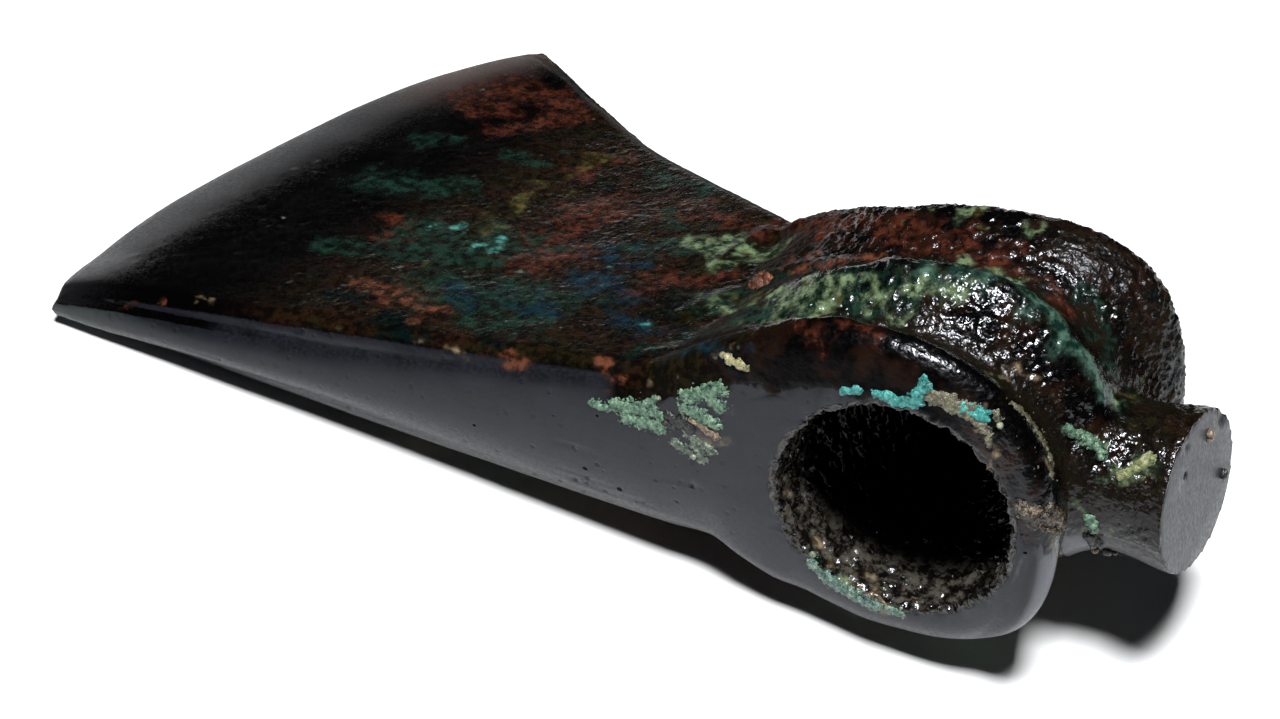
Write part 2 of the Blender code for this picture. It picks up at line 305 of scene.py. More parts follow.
def knobSheet():
    # The knob's profile, necked behind its rim and flaring into the socket, carried round its axis.
    # Its end is drawn in to the middle, and each point beyond is slid back to the slanted end plane.
    rim = knob["reach"] - knob["rim"]
    t = np.linspace(0.0, 1.0, 25)
    head = knob["endRadius"] + (knob["neckRadius"] - knob["endRadius"]) * easeInOut(t)
    foot = knob["neckRadius"] + (knob["rootRadius"] - knob["neckRadius"]) * t ** knob["rootPower"]
    radius = np.concatenate([
        [0.0], np.full(2, knob["rootRadius"]), foot[-2::-1], head[-2::-1], [knob["endRadius"]],
        knob["endRadius"] * np.linspace(0.97, 0.0, 20)])
    along = np.concatenate([
        [knob["start"], knob["start"], knob["rootReach"]],
        (knob["neckReach"] + (knob["rootReach"] - knob["neckReach"]) * t)[-2::-1],
        (rim + (knob["neckReach"] - rim) * t)[-2::-1],
        np.full(21, knob["reach"] + knob["overrun"])])
    sheet = ringSheet(radius, along, fineness["sides"])
    normal = knobEndNormal()
    limit = knob["reach"] - (sheet[:, :, 1] * normal[1] + sheet[:, :, 2] * normal[2]) / normal[0]
    sheet[:, :, 0] = np.minimum(sheet[:, :, 0], limit)
    sheet[:, :, 1] += knob["place"]
    return sheet


def knobEndNormal():
    turn, tip = knob["turn"], knob["tip"]
    return np.array([math.cos(turn) * math.cos(tip), math.sin(turn) * math.cos(tip), -math.sin(tip)])


def holeSheet():
    # a cylinder along Y whose two mouths are worn round, and which runs past both faces
    wear, overrun = socket["mouthWear"], socket["holeOverrun"]
    t = np.linspace(0.0, 1.0, 9)
    flare = wear * (1.0 - np.sqrt(1.0 - (1.0 - t) ** 2))
    length = socket["length"]
    along = np.concatenate([
        np.full(2, -overrun), wear * t, length - wear * t[::-1], np.full(2, length + overrun)])
    narrowing = (socket["farHoleRadius"] - socket["holeRadius"]) * np.clip(along / length, 0.0, 1.0)
    mouths = np.concatenate([[0.0, wear], flare, flare[::-1], [wear, 0.0]])
    radius = socket["holeRadius"] + narrowing + mouths
    radius[0] = radius[-1] = 0.0
    sheet = ringSheet(radius, along, fineness["sides"])
    return sheet[:, :, (1, 0, 2)]


def placed(name, data):
    # a new object in the scene with this mesh, light or camera
    thing = bpy.data.objects.new(name, data)
    bpy.context.scene.collection.objects.link(thing)
    return thing


def closedMesh(name, sheets):
    # puts grids of points into one mesh of four-sided faces, and welds it where they meet
    points = np.concatenate([sheet.reshape(-1, 3) for sheet in sheets])
    faces, start = [], 0
    for sheet in sheets:
        rows, columns = sheet.shape[:2]
        index = start + np.arange(rows * columns).reshape(rows, columns)
        corners = [index[:-1, :-1], index[:-1, 1:], index[1:, 1:], index[1:, :-1]]
        faces.append(np.stack(corners, 2).reshape(-1, 4))
        start += rows * columns
    mesh = bpy.data.meshes.new(name)
    mesh.from_pydata(points.tolist(), [], np.concatenate(faces).tolist())
    form = bmesh.new()
    form.from_mesh(mesh)
    bmesh.ops.remove_doubles(form, verts=form.verts, dist=1e-6)
    bmesh.ops.dissolve_degenerate(form, edges=form.edges, dist=1e-6)
    bmesh.ops.recalc_face_normals(form, faces=form.faces)
    form.to_mesh(mesh)
    form.free()
    return placed(name, mesh)


def applied(piece):
    # the piece's mesh with its modifiers carried out
    bpy.context.view_layer.update()
    mesh = bpy.data.meshes.new_from_object(piece.evaluated_get(bpy.context.evaluated_depsgraph_get()))
    piece.modifiers.clear()
    old = piece.data
    piece.data = mesh
    bpy.data.meshes.remove(old)
    return mesh


def pointsOf(mesh):
    points = np.zeros(len(mesh.vertices) * 3)
    mesh.vertices.foreach_get("co", points)
    return points.reshape(-1, 3)


def setPoints(mesh, points):
    mesh.vertices.foreach_set("co", points.ravel())
    mesh.update()


def normalsOf(mesh):
    normals = np.zeros(len(mesh.vertices) * 3)
    mesh.vertex_normals.foreach_get("vector", normals)
    return normals.reshape(-1, 3)


def relaxed(mesh, points, rounds, strength):
    # moves every point towards the mean of its neighbours, and part of the way back again
    edges = np.zeros(len(mesh.edges) * 2, np.int64)
    mesh.edges.foreach_get("vertices", edges)
    a, b = edges.reshape(-1, 2).T
    count = np.bincount(a, minlength=len(points)) + np.bincount(b, minlength=len(points))
    for step in range(rounds):
        for push in (0.5, -0.52):
            mean = np.stack([
                np.bincount(a, points[b, k], len(points)) + np.bincount(b, points[a, k], len(points))
                for k in range(3)], 1) / np.maximum(count, 1)[:, None]
            points = points + (mean - points) * push * strength
    return points


def makeCasting():
    upper = halfSurface(socket["upper"], 1.0)
    lower = halfSurface(socket["lower"], -1.0)
    nearSide = np.stack([lower[0], upper[0]])
    farSide = np.stack([upper[-1], lower[-1]])
    casting = closedMesh("bronzeAxeHead", [upper, lower, nearSide, farSide])
    stub = closedMesh("knobForm", [knobSheet()])
    hole = closedMesh("holeForm", [holeSheet()])
    for other, operation in ((stub, "UNION"), (hole, "DIFFERENCE")):
        cut = casting.modifiers.new(other.name, "BOOLEAN")
        cut.operation = operation
        cut.object = other
    skin = casting.modifiers.new("skin", "REMESH")
    skin.mode = "VOXEL"
    skin.voxel_size = fineness["cell"]
    mesh = applied(casting)
    for other in (stub, hole):
        bpy.data.objects.remove(other)
    setPoints(mesh, relaxed(mesh, pointsOf(mesh), 3, 1.0))
    print("casting formed:", len(mesh.polygons), "faces")
    return casting


axeHead = makeCasting()


# Where the surface is smooth, and where corrosion has roughened it.
relief = {
    # heights, each with the sizes of its waves or grains
    "waves": (0.00012, 0.0085),             # slow unevenness of the casting
    "ribCrinkle": (0.00025, 0.0017, 0.0010),    # sharp crinkles on the ribs and the knob
    "ribGrain": (0.00007, 0.00075),
    "bladeGrain": (0.00003, 0.0017, 0.0010),
    "holeCrust": (0.00042, 0.0026, 0.0013),
    "pits": (0.00022, 0.0031),
    "upperCrown": 0.0010,       # the near side falls back this much at its upper rim
    "lowerCrown": 0.0013,       # and this much at its lower rim
    "crownDepth": 0.009,        # and less and less over this depth behind it
    # low ridges that run on from the ribs towards the blade: x, y, z of their bends in millimetres
    "ridges": [
        [
            (-5.5, 15.6, 23), (-13.9, 22.5, 16.7), (-20.5, 25, 13.6), (-26.5, 25.5, 9.8),
            (-30.4, 20.8, 8.8), (-32.8, 15.8, 8.7),
        ],
        [
            (-5.1, 8.6, 19), (-8.1, 3.7, 21.4), (-12.6, 3.2, 20.3), (-20.8, 8.6, 14.2),
            (-27.5, 9.7, 10.5), (-31.8, 6.3, 9.5),
        ],
        [
            (-26.4, 38.3, 10.1), (-31.1, 38.3, 7.8), (-32.8, 33.5, 7.8), (-34.1, 29.3, 7.8),
        ],
    ],
    "ridgeHeight": 0.0007,
    "ridgeHalfWidth": 0.0011,
    # low places: x, y, z and radius in millimetres, then depth
    "dents": [
        (-9, 0, -17.5, 5, 0.35), (-24, 0, -11.5, 4, 0.3), (31, 24.6, 6, 1.1, 0.45),
        (29.3, 15.2, 7.7, 0.45, 0.3), (29.5, 14.9, 4.2, 0.5, 0.35), (29.9, 16.6, 8.4, 0.3, 0.2),
        (-77.8, 0.7, 2.7, 0.35, 0.3), (-74.7, 0, 1.1, 0.3, 0.25), (-89.5, 0, -3.6, 0.3, 0.25),
        (-78.3, 0, -5.5, 0.4, 0.3), (-72.3, 0.3, -7.5, 0.3, 0.3), (-39.9, 0, -2.3, 0.3, 0.25),
        (-38.4, 0, -7.1, 0.4, 0.3), (-40.2, 0, -8.2, 0.45, 0.35), (-38.6, 0, -8.2, 0.4, 0.3),
        (-36.3, 0, -8.8, 0.3, 0.25), (-24.5, 0, -3.6, 0.35, 0.3), (-31.2, 0, -8.9, 0.3, 0.25),
    ],
}


# Where each kind of surface lies, in metres. A pair is a start and the width over which it fades in,
# or, for the crests and grooves, a middle along the hole and a half width.
zones = {
    "nearRoll": 0.0020,             # how far round its rims the smooth near side goes
    "lowRimRoll": 0.0038,
    "crustedShare": (0.76, 0.10),   # share of the near side's height above which it is crusted
    "crustedFrom": (-0.0400, 0.0120),
    "ribs": (-0.0360, 0.0180),
    "firstGroove": (0.0082, 0.0036),
    "secondGroove": (0.0212, 0.0042),
    "secondCrest": (0.0160, 0.0030),
    "knob": (0.0195, 0.0030),
    "knobHalf": 0.0125,
    "edgeLine": (-0.1155, 0.24, 1.2),   # start, lean and bend of the worn band's inner border
    "edgeWidth": 0.0130,
    "farBack": (0.0040, 0.0080),    # the last rib's granular end
}


def surfaceRegions(points, normals):
    # shares from 0 to 1 of each kind of surface at each point
    x, y, z = points.T
    fromHole = np.hypot(x, z)
    region = {}
    towardsHole = -(x * normals[:, 0] + z * normals[:, 2]) / np.maximum(fromHole, 1e-6)
    wall = socket["holeRadius"] + (socket["farHoleRadius"] - socket["holeRadius"]) * y / socket["length"]
    region["hole"] = fall(fromHole - wall, 0.0012, 0.0006) * rise(towardsHole, -0.1, 0.6)
    outside = 1.0 - region["hole"]
    rolled = rise(-normals[:, 1], 0.50, 0.40) * fall(y, zones["nearRoll"], 0.0012)
    lowRim = fall(normals[:, 2], 0.25, 0.3) * fall(y, zones["lowRimRoll"], 0.0010)
    lowRim *= fall(z + 0.10 * np.maximum(x, 0.0), 0.0022, 0.0020)
    ragged = 0.10 * cornerNoise(points, 0.0030, 31) + 0.07 * cornerNoise(points, 0.0011, 32)
    crusted = rise(nearShare(x, z) + ragged, *zones["crustedShare"]) * rise(x, *zones["crustedFrom"])
    near = region["near"] = np.maximum(rolled, lowRim) * outside * (1.0 - crusted)
    region["nearCrust"] = rolled * outside * crusted
    # painted sheen: the near side's rims that turn towards +X or downwards get a pale grey that stands in
    # for light and the floor's reflection
    turning = 0.9 * normals[:, 0] - 0.6 * np.minimum(normals[:, 2], 0.0)
    region["paintedRimSheen"] = near * rise(turning, 0.36, 0.40) * rise(x, -0.050, 0.020)
    endNormal = knobEndNormal()
    region["end"] = rise(normals @ endNormal, 0.80, 0.15) * rise(x, 0.0270, 0.0010)
    notEnd = 1.0 - region["end"]
    fromKnob = np.hypot(y - knob["place"], z)
    region["knob"] = rise(x, *zones["knob"]) * fall(fromKnob, zones["knobHalf"], 0.002) * notEnd
    under = fall(normals[:, 2], 0.1, 0.35) * fall(z, -0.0015, 0.002)
    region["knobUnder"] = under * rise(x, 0.0170, 0.0015) * notEnd * outside
    plain = (1.0 - near) * notEnd * outside * (1.0 - region["knobUnder"])
    alongRibs = rise(x, *zones["ribs"])
    region["ribs"] = plain * alongRibs
    region["blade"] = plain * (1.0 - alongRibs)
    edgeStart, lean, bend = zones["edgeLine"]
    edgeX = edgeStart + lean * np.maximum(y - 0.012, 0.0) + bend * y ** 2
    region["edge"] = region["blade"] * fall(x, edgeX + zones["edgeWidth"], zones["edgeWidth"])
    region["firstCrest"] = fall(y, 0.0085, 0.003) * rise(y, 0.0005, 0.001)
    region["firstGroove"] = hump(y, *zones["firstGroove"])
    region["secondGroove"] = hump(y, *zones["secondGroove"])
    region["secondCrest"] = hump(y, *zones["secondCrest"]) * rise(x, 0.001, 0.004)
    region["under"] = fall(z, -0.001, 0.004)
    region["far"] = rise(normals[:, 1], 0.5, 0.3)
    endGap = (points - (knob["reach"], knob["place"], 0.0)) @ endNormal
    region["knobRim"] = rise(endGap, -0.0020, 0.0020) * rise(x, 0.022, 0.002)
    flank = rise(-normals[:, 0], 0.22, 0.25) * rise(x, -0.050, 0.010) * fall(x, -0.015, 0.008)
    farRim = rise(normals[:, 1], 0.10, 0.30) * fall(x, -0.010, 0.010)
    region["farBack"] = region["ribs"] * rise(x, *zones["farBack"]) * rise(y, 0.0240, 0.0025)
    crustDull = region["nearCrust"] * (0.85 - 0.50 * rise(x, 0.004, 0.008))
    dull = np.maximum(np.maximum(flank, farRim) * (1.0 - near), crustDull)
    region["dull"] = np.maximum(dull, 0.42 * region["farBack"])
    return region


def nearShare(x, z):
    # height on the near side, from -1 at its lower rim to 1 at its upper one; both rims are read off
    # the first sections of the two halves
    line = np.linspace(-0.112, 0.017, 120)
    limits = []
    for half, side in ((socket["upper"], 1.0), (socket["lower"], -1.0)):
        rim = halfSurface(half, side)[0]
        order = np.argsort(rim[:, 0])
        limits.append(np.interp(line, rim[order, 0], rim[order, 2]))
    upper, lower = (np.interp(x, line, limit) for limit in limits)
    return (z - (upper + lower) / 2.0) / np.maximum((upper - lower) / 2.0, 0.001)


def nearCrown(points):
    # how far back the near side falls: by the square of its share of height, fading with depth
    x, y, z = points.T
    share = nearShare(x, z)
    back = np.where(share > 0.0, relief["upperCrown"], relief["lowerCrown"])
    back = back * np.minimum(np.abs(share), 1.25) ** 2
    back *= (rise(x, -0.112, 0.020) * 0.6 + 0.4) * fall(x, 0.0175, 0.007)
    return back * (1.0 - np.clip(y / relief["crownDepth"], 0.0, 1.0)) ** 2


def corroded(points, region):
    # The height to add along each normal: slow waves everywhere; crinkles and grain where the ribs are
    # rough, less on the first crest and in the grooves; finer grain and pits on the blade; a thick
    # crust in the hole; almost nothing on the smooth near side and the knob's end.
    calm = 1.0 - 0.55 * region["secondCrest"] - 0.65 * region["firstCrest"]
    calm -= 0.35 * region["firstGroove"] * (1.0 - region["firstCrest"])
    rough = region["ribs"] * (1.0 - 0.35 * region["under"]) * calm * (1.0 - 0.3 * region["secondGroove"])
    for name, share in (("knobRim", 0.9), ("dull", 0.2), ("nearCrust", 0.5)):
        rough *= 1.0 - share * region[name]
    grain = region["blade"] * (1.0 - 0.85 * region["edge"])
    high, cell = relief["waves"]
    height = high * cornerNoise(points, cell, 3) * (0.35 + rough + 0.7 * grain)
    patchy = 0.60 + 0.40 * easeInOut(cornerNoise(points, 0.006, 5) * 1.2 + 0.5)
    high, wide, narrow = relief["ribCrinkle"]
    crinkle = ridgeNoise(points, wide, 7) * 0.5 + ridgeNoise(points, narrow, 8) * 0.6
    height += high * crinkle * rough * patchy
    high, cell = relief["ribGrain"]
    height += high * cornerNoise(points, cell, 9) * rough
    high, wide, narrow = relief["bladeGrain"]
    height += high * (cornerNoise(points, wide, 11) + 0.7 * ridgeNoise(points, narrow, 12)) * grain
    high, wide, narrow = relief["holeCrust"]
    crust = cornerNoise(points, wide, 14) + ridgeNoise(points, narrow, 15)
    height += high * 0.6 * crust * region["hole"]
    high, cell = relief["pits"]
    height -= high * pitNoise(points, cell, 21, 0.20) * (0.6 * grain + 0.5 * rough)
    ridge = np.zeros(len(points))
    for line in relief["ridges"]:
        bends = np.array(line) / 1000.0
        for number, (start, stop) in enumerate(zip(bends[:-1], bends[1:])):
            run = stop - start
            along = np.clip((points - start) @ run / (run @ run), 0.0, 1.0)
            gap = np.linalg.norm(points - start - along[:, None] * run, axis=1)
            fade = 1.0 - 0.75 * (number + along) / (len(bends) - 1.0)
            ridge = np.maximum(ridge, fade * np.exp(-((gap / relief["ridgeHalfWidth"]) ** 2)))
    height += relief["ridgeHeight"] * ridge * (1.0 - region["near"]) * (1.0 - region["hole"])
    millimetres = points * 1000.0
    for x, y, z, radius, depth in relief["dents"]:
        gap = np.linalg.norm(millimetres - (x, y, z), axis=1) / radius
        height -= depth * 0.001 * easeInOut(1.3 - gap)
    return height


def roughenCasting(piece):
    mesh = piece.data
    points = pointsOf(mesh)
    normals = normalsOf(mesh)
    region = surfaceRegions(points, normals)
    height = corroded(points, region)
    points = points + normals * height[:, None]
    points[:, 1] += nearCrown(points)
    setPoints(mesh, points)
    thin = piece.modifiers.new("thin", "DECIMATE")
    thin.ratio = min(1.0, fineness["triangles"] / (2.0 * len(mesh.polygons)))
    mesh = applied(piece)
    print("casting roughened:", sum(len(p.vertices) - 2 for p in mesh.polygons), "triangles")


roughenCasting(axeHead)


# Coloured corrosion, each a set of strokes laid on the surface: two ends and a half width, in
# millimetres. Their outlines are ragged, and the material breaks them up further.
patina = {
    "rust": [
        (-57.6, 24.5, 4.7, -56.9, 36.1, 3.8, 2.7), (-58.3, 38.8, 3.4, -55.7, 44.3, 3.2, 2.4),
        (-79.7, 58.5, 1, -73, 64.2, 0.8, 2.1), (-77.6, 24.2, 3.1, -76.2, 29.2, 2.9, 1.35),
        (-40.3, 20.5, 7.4, -35.5, 24.7, 7.9, 1.65), (-86, 70, 0, -76, 71, 0, 2.85),
        (-76, 69, 1, -70, 67, 1, 1.95), (-62, 56, 2, -61, 57, 2, 1.8),
        (-63.2, 52, 1.9, -62, 54.2, 1.8, 1.65), (-60, 41, 3, -54, 40, 4, 2.25),
        (-60, 32, 4, -51, 26, 5, 2.7), (-47.5, 46, 4.4, -41.8, 44.9, 5.6, 1.65),
        (-48.4, 41.2, 4.6, -33.8, 40.6, 7.3, 1.5), (-40, 26, 7, -37, 24, 8, 1.8),
        (-81.3, 28.9, 2.6, -78.3, 28.8, 2.8, 1.8), (-91, 66, 0, -83, 64, 1, 1.95),
        (-31, 41, 8, -20, 33, 15, 2.25), (-20, 32, 15, -9, 27, 20, 2.1), (-9, 26, 20, -1, 25, 21, 2.1),
        (-1, 24, 21, 5, 23, 21, 2.1), (3.9, 23.5, 21, 9.3, 21.5, 19.8, 1.65),
        (9.1, 22.1, 20, 12.1, 21.1, 18.5, 1.35), (-4.8, 24.4, 20.1, 1.9, 24, 21, 1.2),
        (-34.7, 23, 8.1, -29.4, 26.2, 8.6, 1.5), (-12.6, 3.2, 20.3, -3.5, 3.8, 21.9, 1.05),
        (-3.3, 3.3, 22, 1, 7.8, 19, 0.75),
    ],
    "copper": [
        (-52.5, 0.9, 5.9, -43.1, 0.8, 7, 0.9), (-37, 1.7, 8.5, -33, 1.4, 9, 0.9),
        (-72, 12, 4, -64, 10, 5, 2.25), (-23.2, 27.1, 11.9, -12.7, 22.6, 17.3, 1.05),
        (-105.6, 1.8, 0.8, -100.5, 2.2, 1.6, 0.45),
    ],
    "green": [
        (-77, 23, 3, -63, 23, 4, 2.85), (-66, 15, 5, -50, 15, 6, 4.05), (-76, 29, 3, -59, 29, 4, 2.7),
        (-90, 38, 2, -77, 40, 2, 2.4), (-89.9, 52.4, 1, -84.7, 53.1, 1.2, 1.5),
        (-75.3, 51.6, 1.5, -68.8, 53.1, 1.6, 1.2), (-52.9, 54, 2.9, -42.9, 49.8, 5, 1.65),
        (-48, 32, 5, -35, 32, 7, 1.95), (-86.7, 20, 2.7, -77.1, 21.5, 3.4, 1.35),
        (-58, 9, 6, -48, 9, 7, 1.8), (-33.8, 6.4, 9.3, -28.8, 12.6, 9.5, 1.35),
        (-32, 20, 9, -25, 21, 11, 2.55), (-24, 13, 13, -16, 12, 17, 2.4), (-16, 12, 17, -4, 12, 22, 2.4),
        (-4, 13, 22, 2, 14, 23, 1.95), (-49.7, 40.7, 4.4, -40.3, 38.8, 6.3, 1.2),
        (14.1, 23.7, 18.3, 17.3, 23.4, 15.2, 1.05), (17.1, 20.6, 14.2, 20.9, 21.1, 8.7, 1.05),
    ],
    "blueGreen": [
        (-50, 23, 6, -41, 19, 7, 2.25), (-39.9, 13.9, 7.9, -33.5, 11.5, 9, 1.65),
        (-50.3, 29.9, 5.2, -43.6, 27.7, 6.4, 1.5), (-54.8, 14.3, 5.9, -47.7, 13.3, 6.9, 1.65),
        (-25.2, 4.5, 13.5, -19.4, 0.9, 16.4, 1.05), (-63.7, 14.5, 4.9, -58.1, 11.9, 5.7, 1.5),
    ],
    "paleGreen": [
        (-38, 34.8, 6.9, -28.1, 33.3, 8.8, 1.65), (-34.1, 29.3, 7.8, -30.4, 30.2, 8.2, 1.05),
        (-29.7, 20.1, 8.9, -18.2, 14.4, 16.6, 1.65), (-18, 14, 17, -10, 12, 20, 1.95),
        (-24, 11.7, 12.5, -15, 9.5, 16.8, 1.05), (-10, 12.5, 20.2, -2.6, 11.7, 21.3, 1.2),
        (-2.3, 14, 23.1, 3.4, 13.3, 22.9, 1.5), (-2.2, 22, 20.1, 4.6, 21.5, 20.6, 1.05),
        (-3.6, 30.4, 21.9, 2.8, 30.2, 22.8, 0.9), (2.8, 30.2, 22.8, 6.5, 29.8, 22.8, 0.9),
        (-12, 31.4, 19.3, -8.7, 30.4, 20.5, 0.6), (17, 10.5, 9.5, 20.6, 12.2, 7.5, 0.9),
        (22.8, 10.7, 5.3, 25.9, 12, 7, 0.9), (20.7, 8.5, -0.1, 21.7, 9, -1.9, 0.9),
        (-9.3, 1.6, -10.3, -7.2, 0.8, -12, 0.75), (-7.2, 0.8, -12, -1.9, 0.1, -13.9, 0.6),
        (-1.9, 0.1, -13.9, 2.5, 0, -14.1, 0.6), (7.7, 7.4, 17.1, 10.8, 6.8, 15.3, 0.6),
        (20.4, 18.7, 9.4, 21.5, 23.8, 7.1, 0.75),
    ],
    "jade": [
        (-1.5, 14.6, 23.1, 3.6, 17.2, 23, 1.5), (3.6, 17.2, 23, 9.3, 16.8, 22.3, 2.1),
        (9.3, 16.8, 22.3, 14.5, 15.9, 18.8, 1.95), (14.5, 15.9, 18.8, 17.5, 15.6, 14.8, 1.65),
        (17.5, 15.6, 14.8, 19.6, 16, 11, 1.2),
    ],
    "turquoise": [
        (-70.9, 29.1, 3.2, -70.3, 29.9, 3.2, 0.6), (-66.7, 26.4, 3.7, -66.2, 27.2, 3.7, 0.75),
        (-65.1, 30, 3.5, -63.1, 29.5, 3.7, 0.6), (-68.6, 20.9, 4, -68.2, 21.6, 4, 0.6),
        (-58.8, 24.1, 4.6, -57.8, 23.8, 4.7, 0.6), (-70.1, 35, 2.8, -69.4, 35.9, 2.8, 0.6),
        (-46.2, 24.3, 6.2, -45.4, 25, 6.3, 0.45), (-36.7, 12.8, 8.4, -35.8, 13.5, 8.5, 0.45),
        (-70.3, 29.9, 3.2, -68.7, 29.6, 3.3, 0.75), (-64.7, 27.7, 3.7, -62.3, 26.1, 4.1, 0.75),
        (-66.6, 25.2, 3.8, -65.1, 25.1, 3.9, 0.45), (-73.6, 29.9, 3, -72.1, 30.5, 3.1, 0.45),
        (-58.8, 24.1, 4.6, -56.8, 23, 4.9, 0.6), (-37.3, 18.5, 7.9, -36.2, 17.9, 8.1, 0.3),
    ],
    "yellow": [
        (-68.2, 33.2, 3.1, -64.1, 42.5, 2.6, 1.05), (-68, 27.7, 3.5, -66.2, 32.7, 3.2, 0.75),
        (-65.2, 44.7, 2.3, -63.3, 53.7, 1.7, 1.05), (-64, 55.1, 1.6, -62.5, 59.1, 1.4, 0.75),
        (-71.1, 20, 3.9, -69.1, 24.3, 3.7, 0.6), (-34.6, 32, 7.6, -31.3, 30, 8.1, 0.9),
        (19.7, 18.5, 10.2, 22.7, 20, 8.7, 1.05), (-26.8, 20, 9.8, -23.4, 18, 12.5, 0.9),
        (-15.9, 11.7, 17.2, -9.8, 11.4, 19.6, 0.9), (-1.6, 30.6, 22.3, 0.4, 28.2, 22.2, 0.6),
        (-59.5, 1.8, 5.8, -53.6, 0.8, 5.6, 0.75),
    ],
    "tan": [
        (-20.5, 0.7, 15.5, -18.5, 0.1, 15.3, 0.6), (-12.8, 5.6, -4.8, -11, 7.7, -7.8, 1.05),
        (-10.5, 2.6, -9, -8.3, 2.3, -11.1, 0.75), (-61.1, 1.5, 5.4, -53.8, 0.8, 5.6, 0.75),
        (-93, 2.9, 2.5, -92.2, 2.5, 2.5, 0.45), (15.7, 0.3, 5.8, 18.5, 3, 2.7, 1.2),
        (14.5, 6.8, 11.6, 16.3, 6.1, 9.1, 0.45), (16.1, 4.1, 10.5, 17, 4, 8.8, 0.45),
        (7.9, 9.4, 17.5, 10.7, 10.5, 16.7, 0.6), (3.9, 0, 17.1, 7.9, 0.1, 15.5, 0.75),
        (10.3, 0.1, 13.5, 11.1, 0, 11.1, 0.45), (-23.3, 0, 5.7, -21.3, 0, 4.7, 0.9),
        (-6.4, 3.6, -12.2, -4.3, 3.7, -13.1, 0.9), (-1.6, 2.7, -13.7, 1.1, 2.1, -13.8, 0.9),
        (-29.6, 0, 8.2, -28.3, 0, 7.1, 0.3), (-72.3, 2, 4.4, -67.9, 1.8, 4.8, 0.3),
        (-24.2, 2.1, 14.3, -22.6, 1.8, 15.3, 0.3),
    ],
}


# How little of each covers the hidden sides: noise over this value is coloured.
hiddenPatina = {"rust": 0.10, "green": 0.20, "paleGreen": 0.42, "copper": 0.5, "yellow": 0.5}


def strokeShare(points, strokes, seed):
    # 1 along each stroke, falling as a bell to a half at its half width, after the points have been
    # pushed about by noise
    push = np.stack([cornerNoise(points, 0.0045, seed + k) for k in range(3)], 1) * 0.0030
    push += np.stack([cornerNoise(points, 0.0016, seed + 3 + k) for k in range(3)], 1) * 0.0014
    moved = (points + push) * 1000.0
    share = np.zeros(len(points))
    for stroke in np.array(strokes, float):
        start, run, width = stroke[:3], stroke[3:6] - stroke[:3], stroke[6]
        along = np.clip((moved - start) @ run / max(run @ run, 1e-9), 0.0, 1.0)
        gap = np.linalg.norm(moved - start - along[:, None] * run, axis=1)
        share = np.maximum(share, 0.5 ** ((gap / width) ** 2))
    return share


def addShare(mesh, name, values):
    attribute = mesh.attributes.new(name, "FLOAT", "POINT")
    attribute.data.foreach_set("value", values.astype(np.float32))


def colourCasting(piece):
    mesh = piece.data
    points = pointsOf(mesh)
    normals = normalsOf(mesh)
    uncrowned = points.copy()
    uncrowned[:, 1] -= nearCrown(points)
    region = surfaceRegions(uncrowned, normals)
    hidden = np.clip(region["under"] + region["far"], 0.0, 1.0)
    hidden *= (1.0 - region["near"]) * (1.0 - region["hole"])
    clean = 1.0 - 0.6 * np.maximum(region["end"], region["knobUnder"])
    for number, (name, strokes) in enumerate(patina.items()):
        share = strokeShare(points, strokes, 40 + 10 * number)
        patches = cornerNoise(points, 0.011, 200 + number) + 0.4 * cornerNoise(points, 0.003, 230 + number)
        share = np.maximum(share, hidden * rise(patches, hiddenPatina.get(name, 0.6), 0.25) * 0.8)
        addShare(mesh, name, share * clean)
    calm = 1.0 - 0.5 * np.maximum(region["firstCrest"], region["secondCrest"])
    crinkled = region["ribs"] * calm * (1.0 - 0.2 * region["dull"]) + region["knob"] + region["hole"]
    # painted shade: deeper than a few millimetres into the hole the surface is laid dark, less crinkled and
    # less shiny
    paintedHoleShade = region["hole"] * rise(points[:, 1], 0.0045, 0.0060)
    # painted sheen under the knob's root: it takes the rims' pale grey, for the floor's reflection
    paintedKnobUnderSheen = 0.7 * region["knobUnder"] * fall(points[:, 0], 0.023, 0.003)
    x, y, z = points.T * 1000.0
    inland = rise(x - 0.22 * y, -94.0, 16.0) * fall(x, -12.0, 14.0) * (1.0 - region["near"])
    pitArea = np.exp(-((x + 38.0) / 9.0) ** 2 - ((z + 7.5) / 2.6) ** 2)
    shares = {
        "smooth": np.maximum(np.maximum(region["near"], region["end"]), region["knobUnder"]),
        "crinkled": np.clip(crinkled, 0.0, 1.0) * (1.0 - 0.8 * paintedHoleShade),
        "worn": region["edge"],
        "holeWall": region["hole"],
        "paintedHoleShade": paintedHoleShade,
        "dull": region["dull"],
        # painted sheen on the near side's turned rims and under the knob's root
        "paintedRimSheen": np.maximum(region["paintedRimSheen"], paintedKnobUnderSheen),
        "endFace": region["end"],
        "grooves": np.maximum(region["firstGroove"], region["secondGroove"]) * region["ribs"],
        "mottled": np.maximum(inland, 0.8 * np.maximum(region["knob"], region["farBack"])),
        # the worn band's far corner: a reddish, paler tone, partly rust and partly painted sheen
        "farCornerRustAndSheen": rise(y, 56.0, 16.0) * rise(x, -104.0, 8.0),
        "pitArea": np.clip(pitArea * 1.3 + 0.12, 0.0, 1.0) * region["near"],
        "greyTip": rise((z + 2.0) * 0.9 - x, 104.5, 2.0) * region["near"],
    }
    for name, values in shares.items():
        addShare(mesh, name, values)
    print("casting coloured")


colourCasting(axeHead)


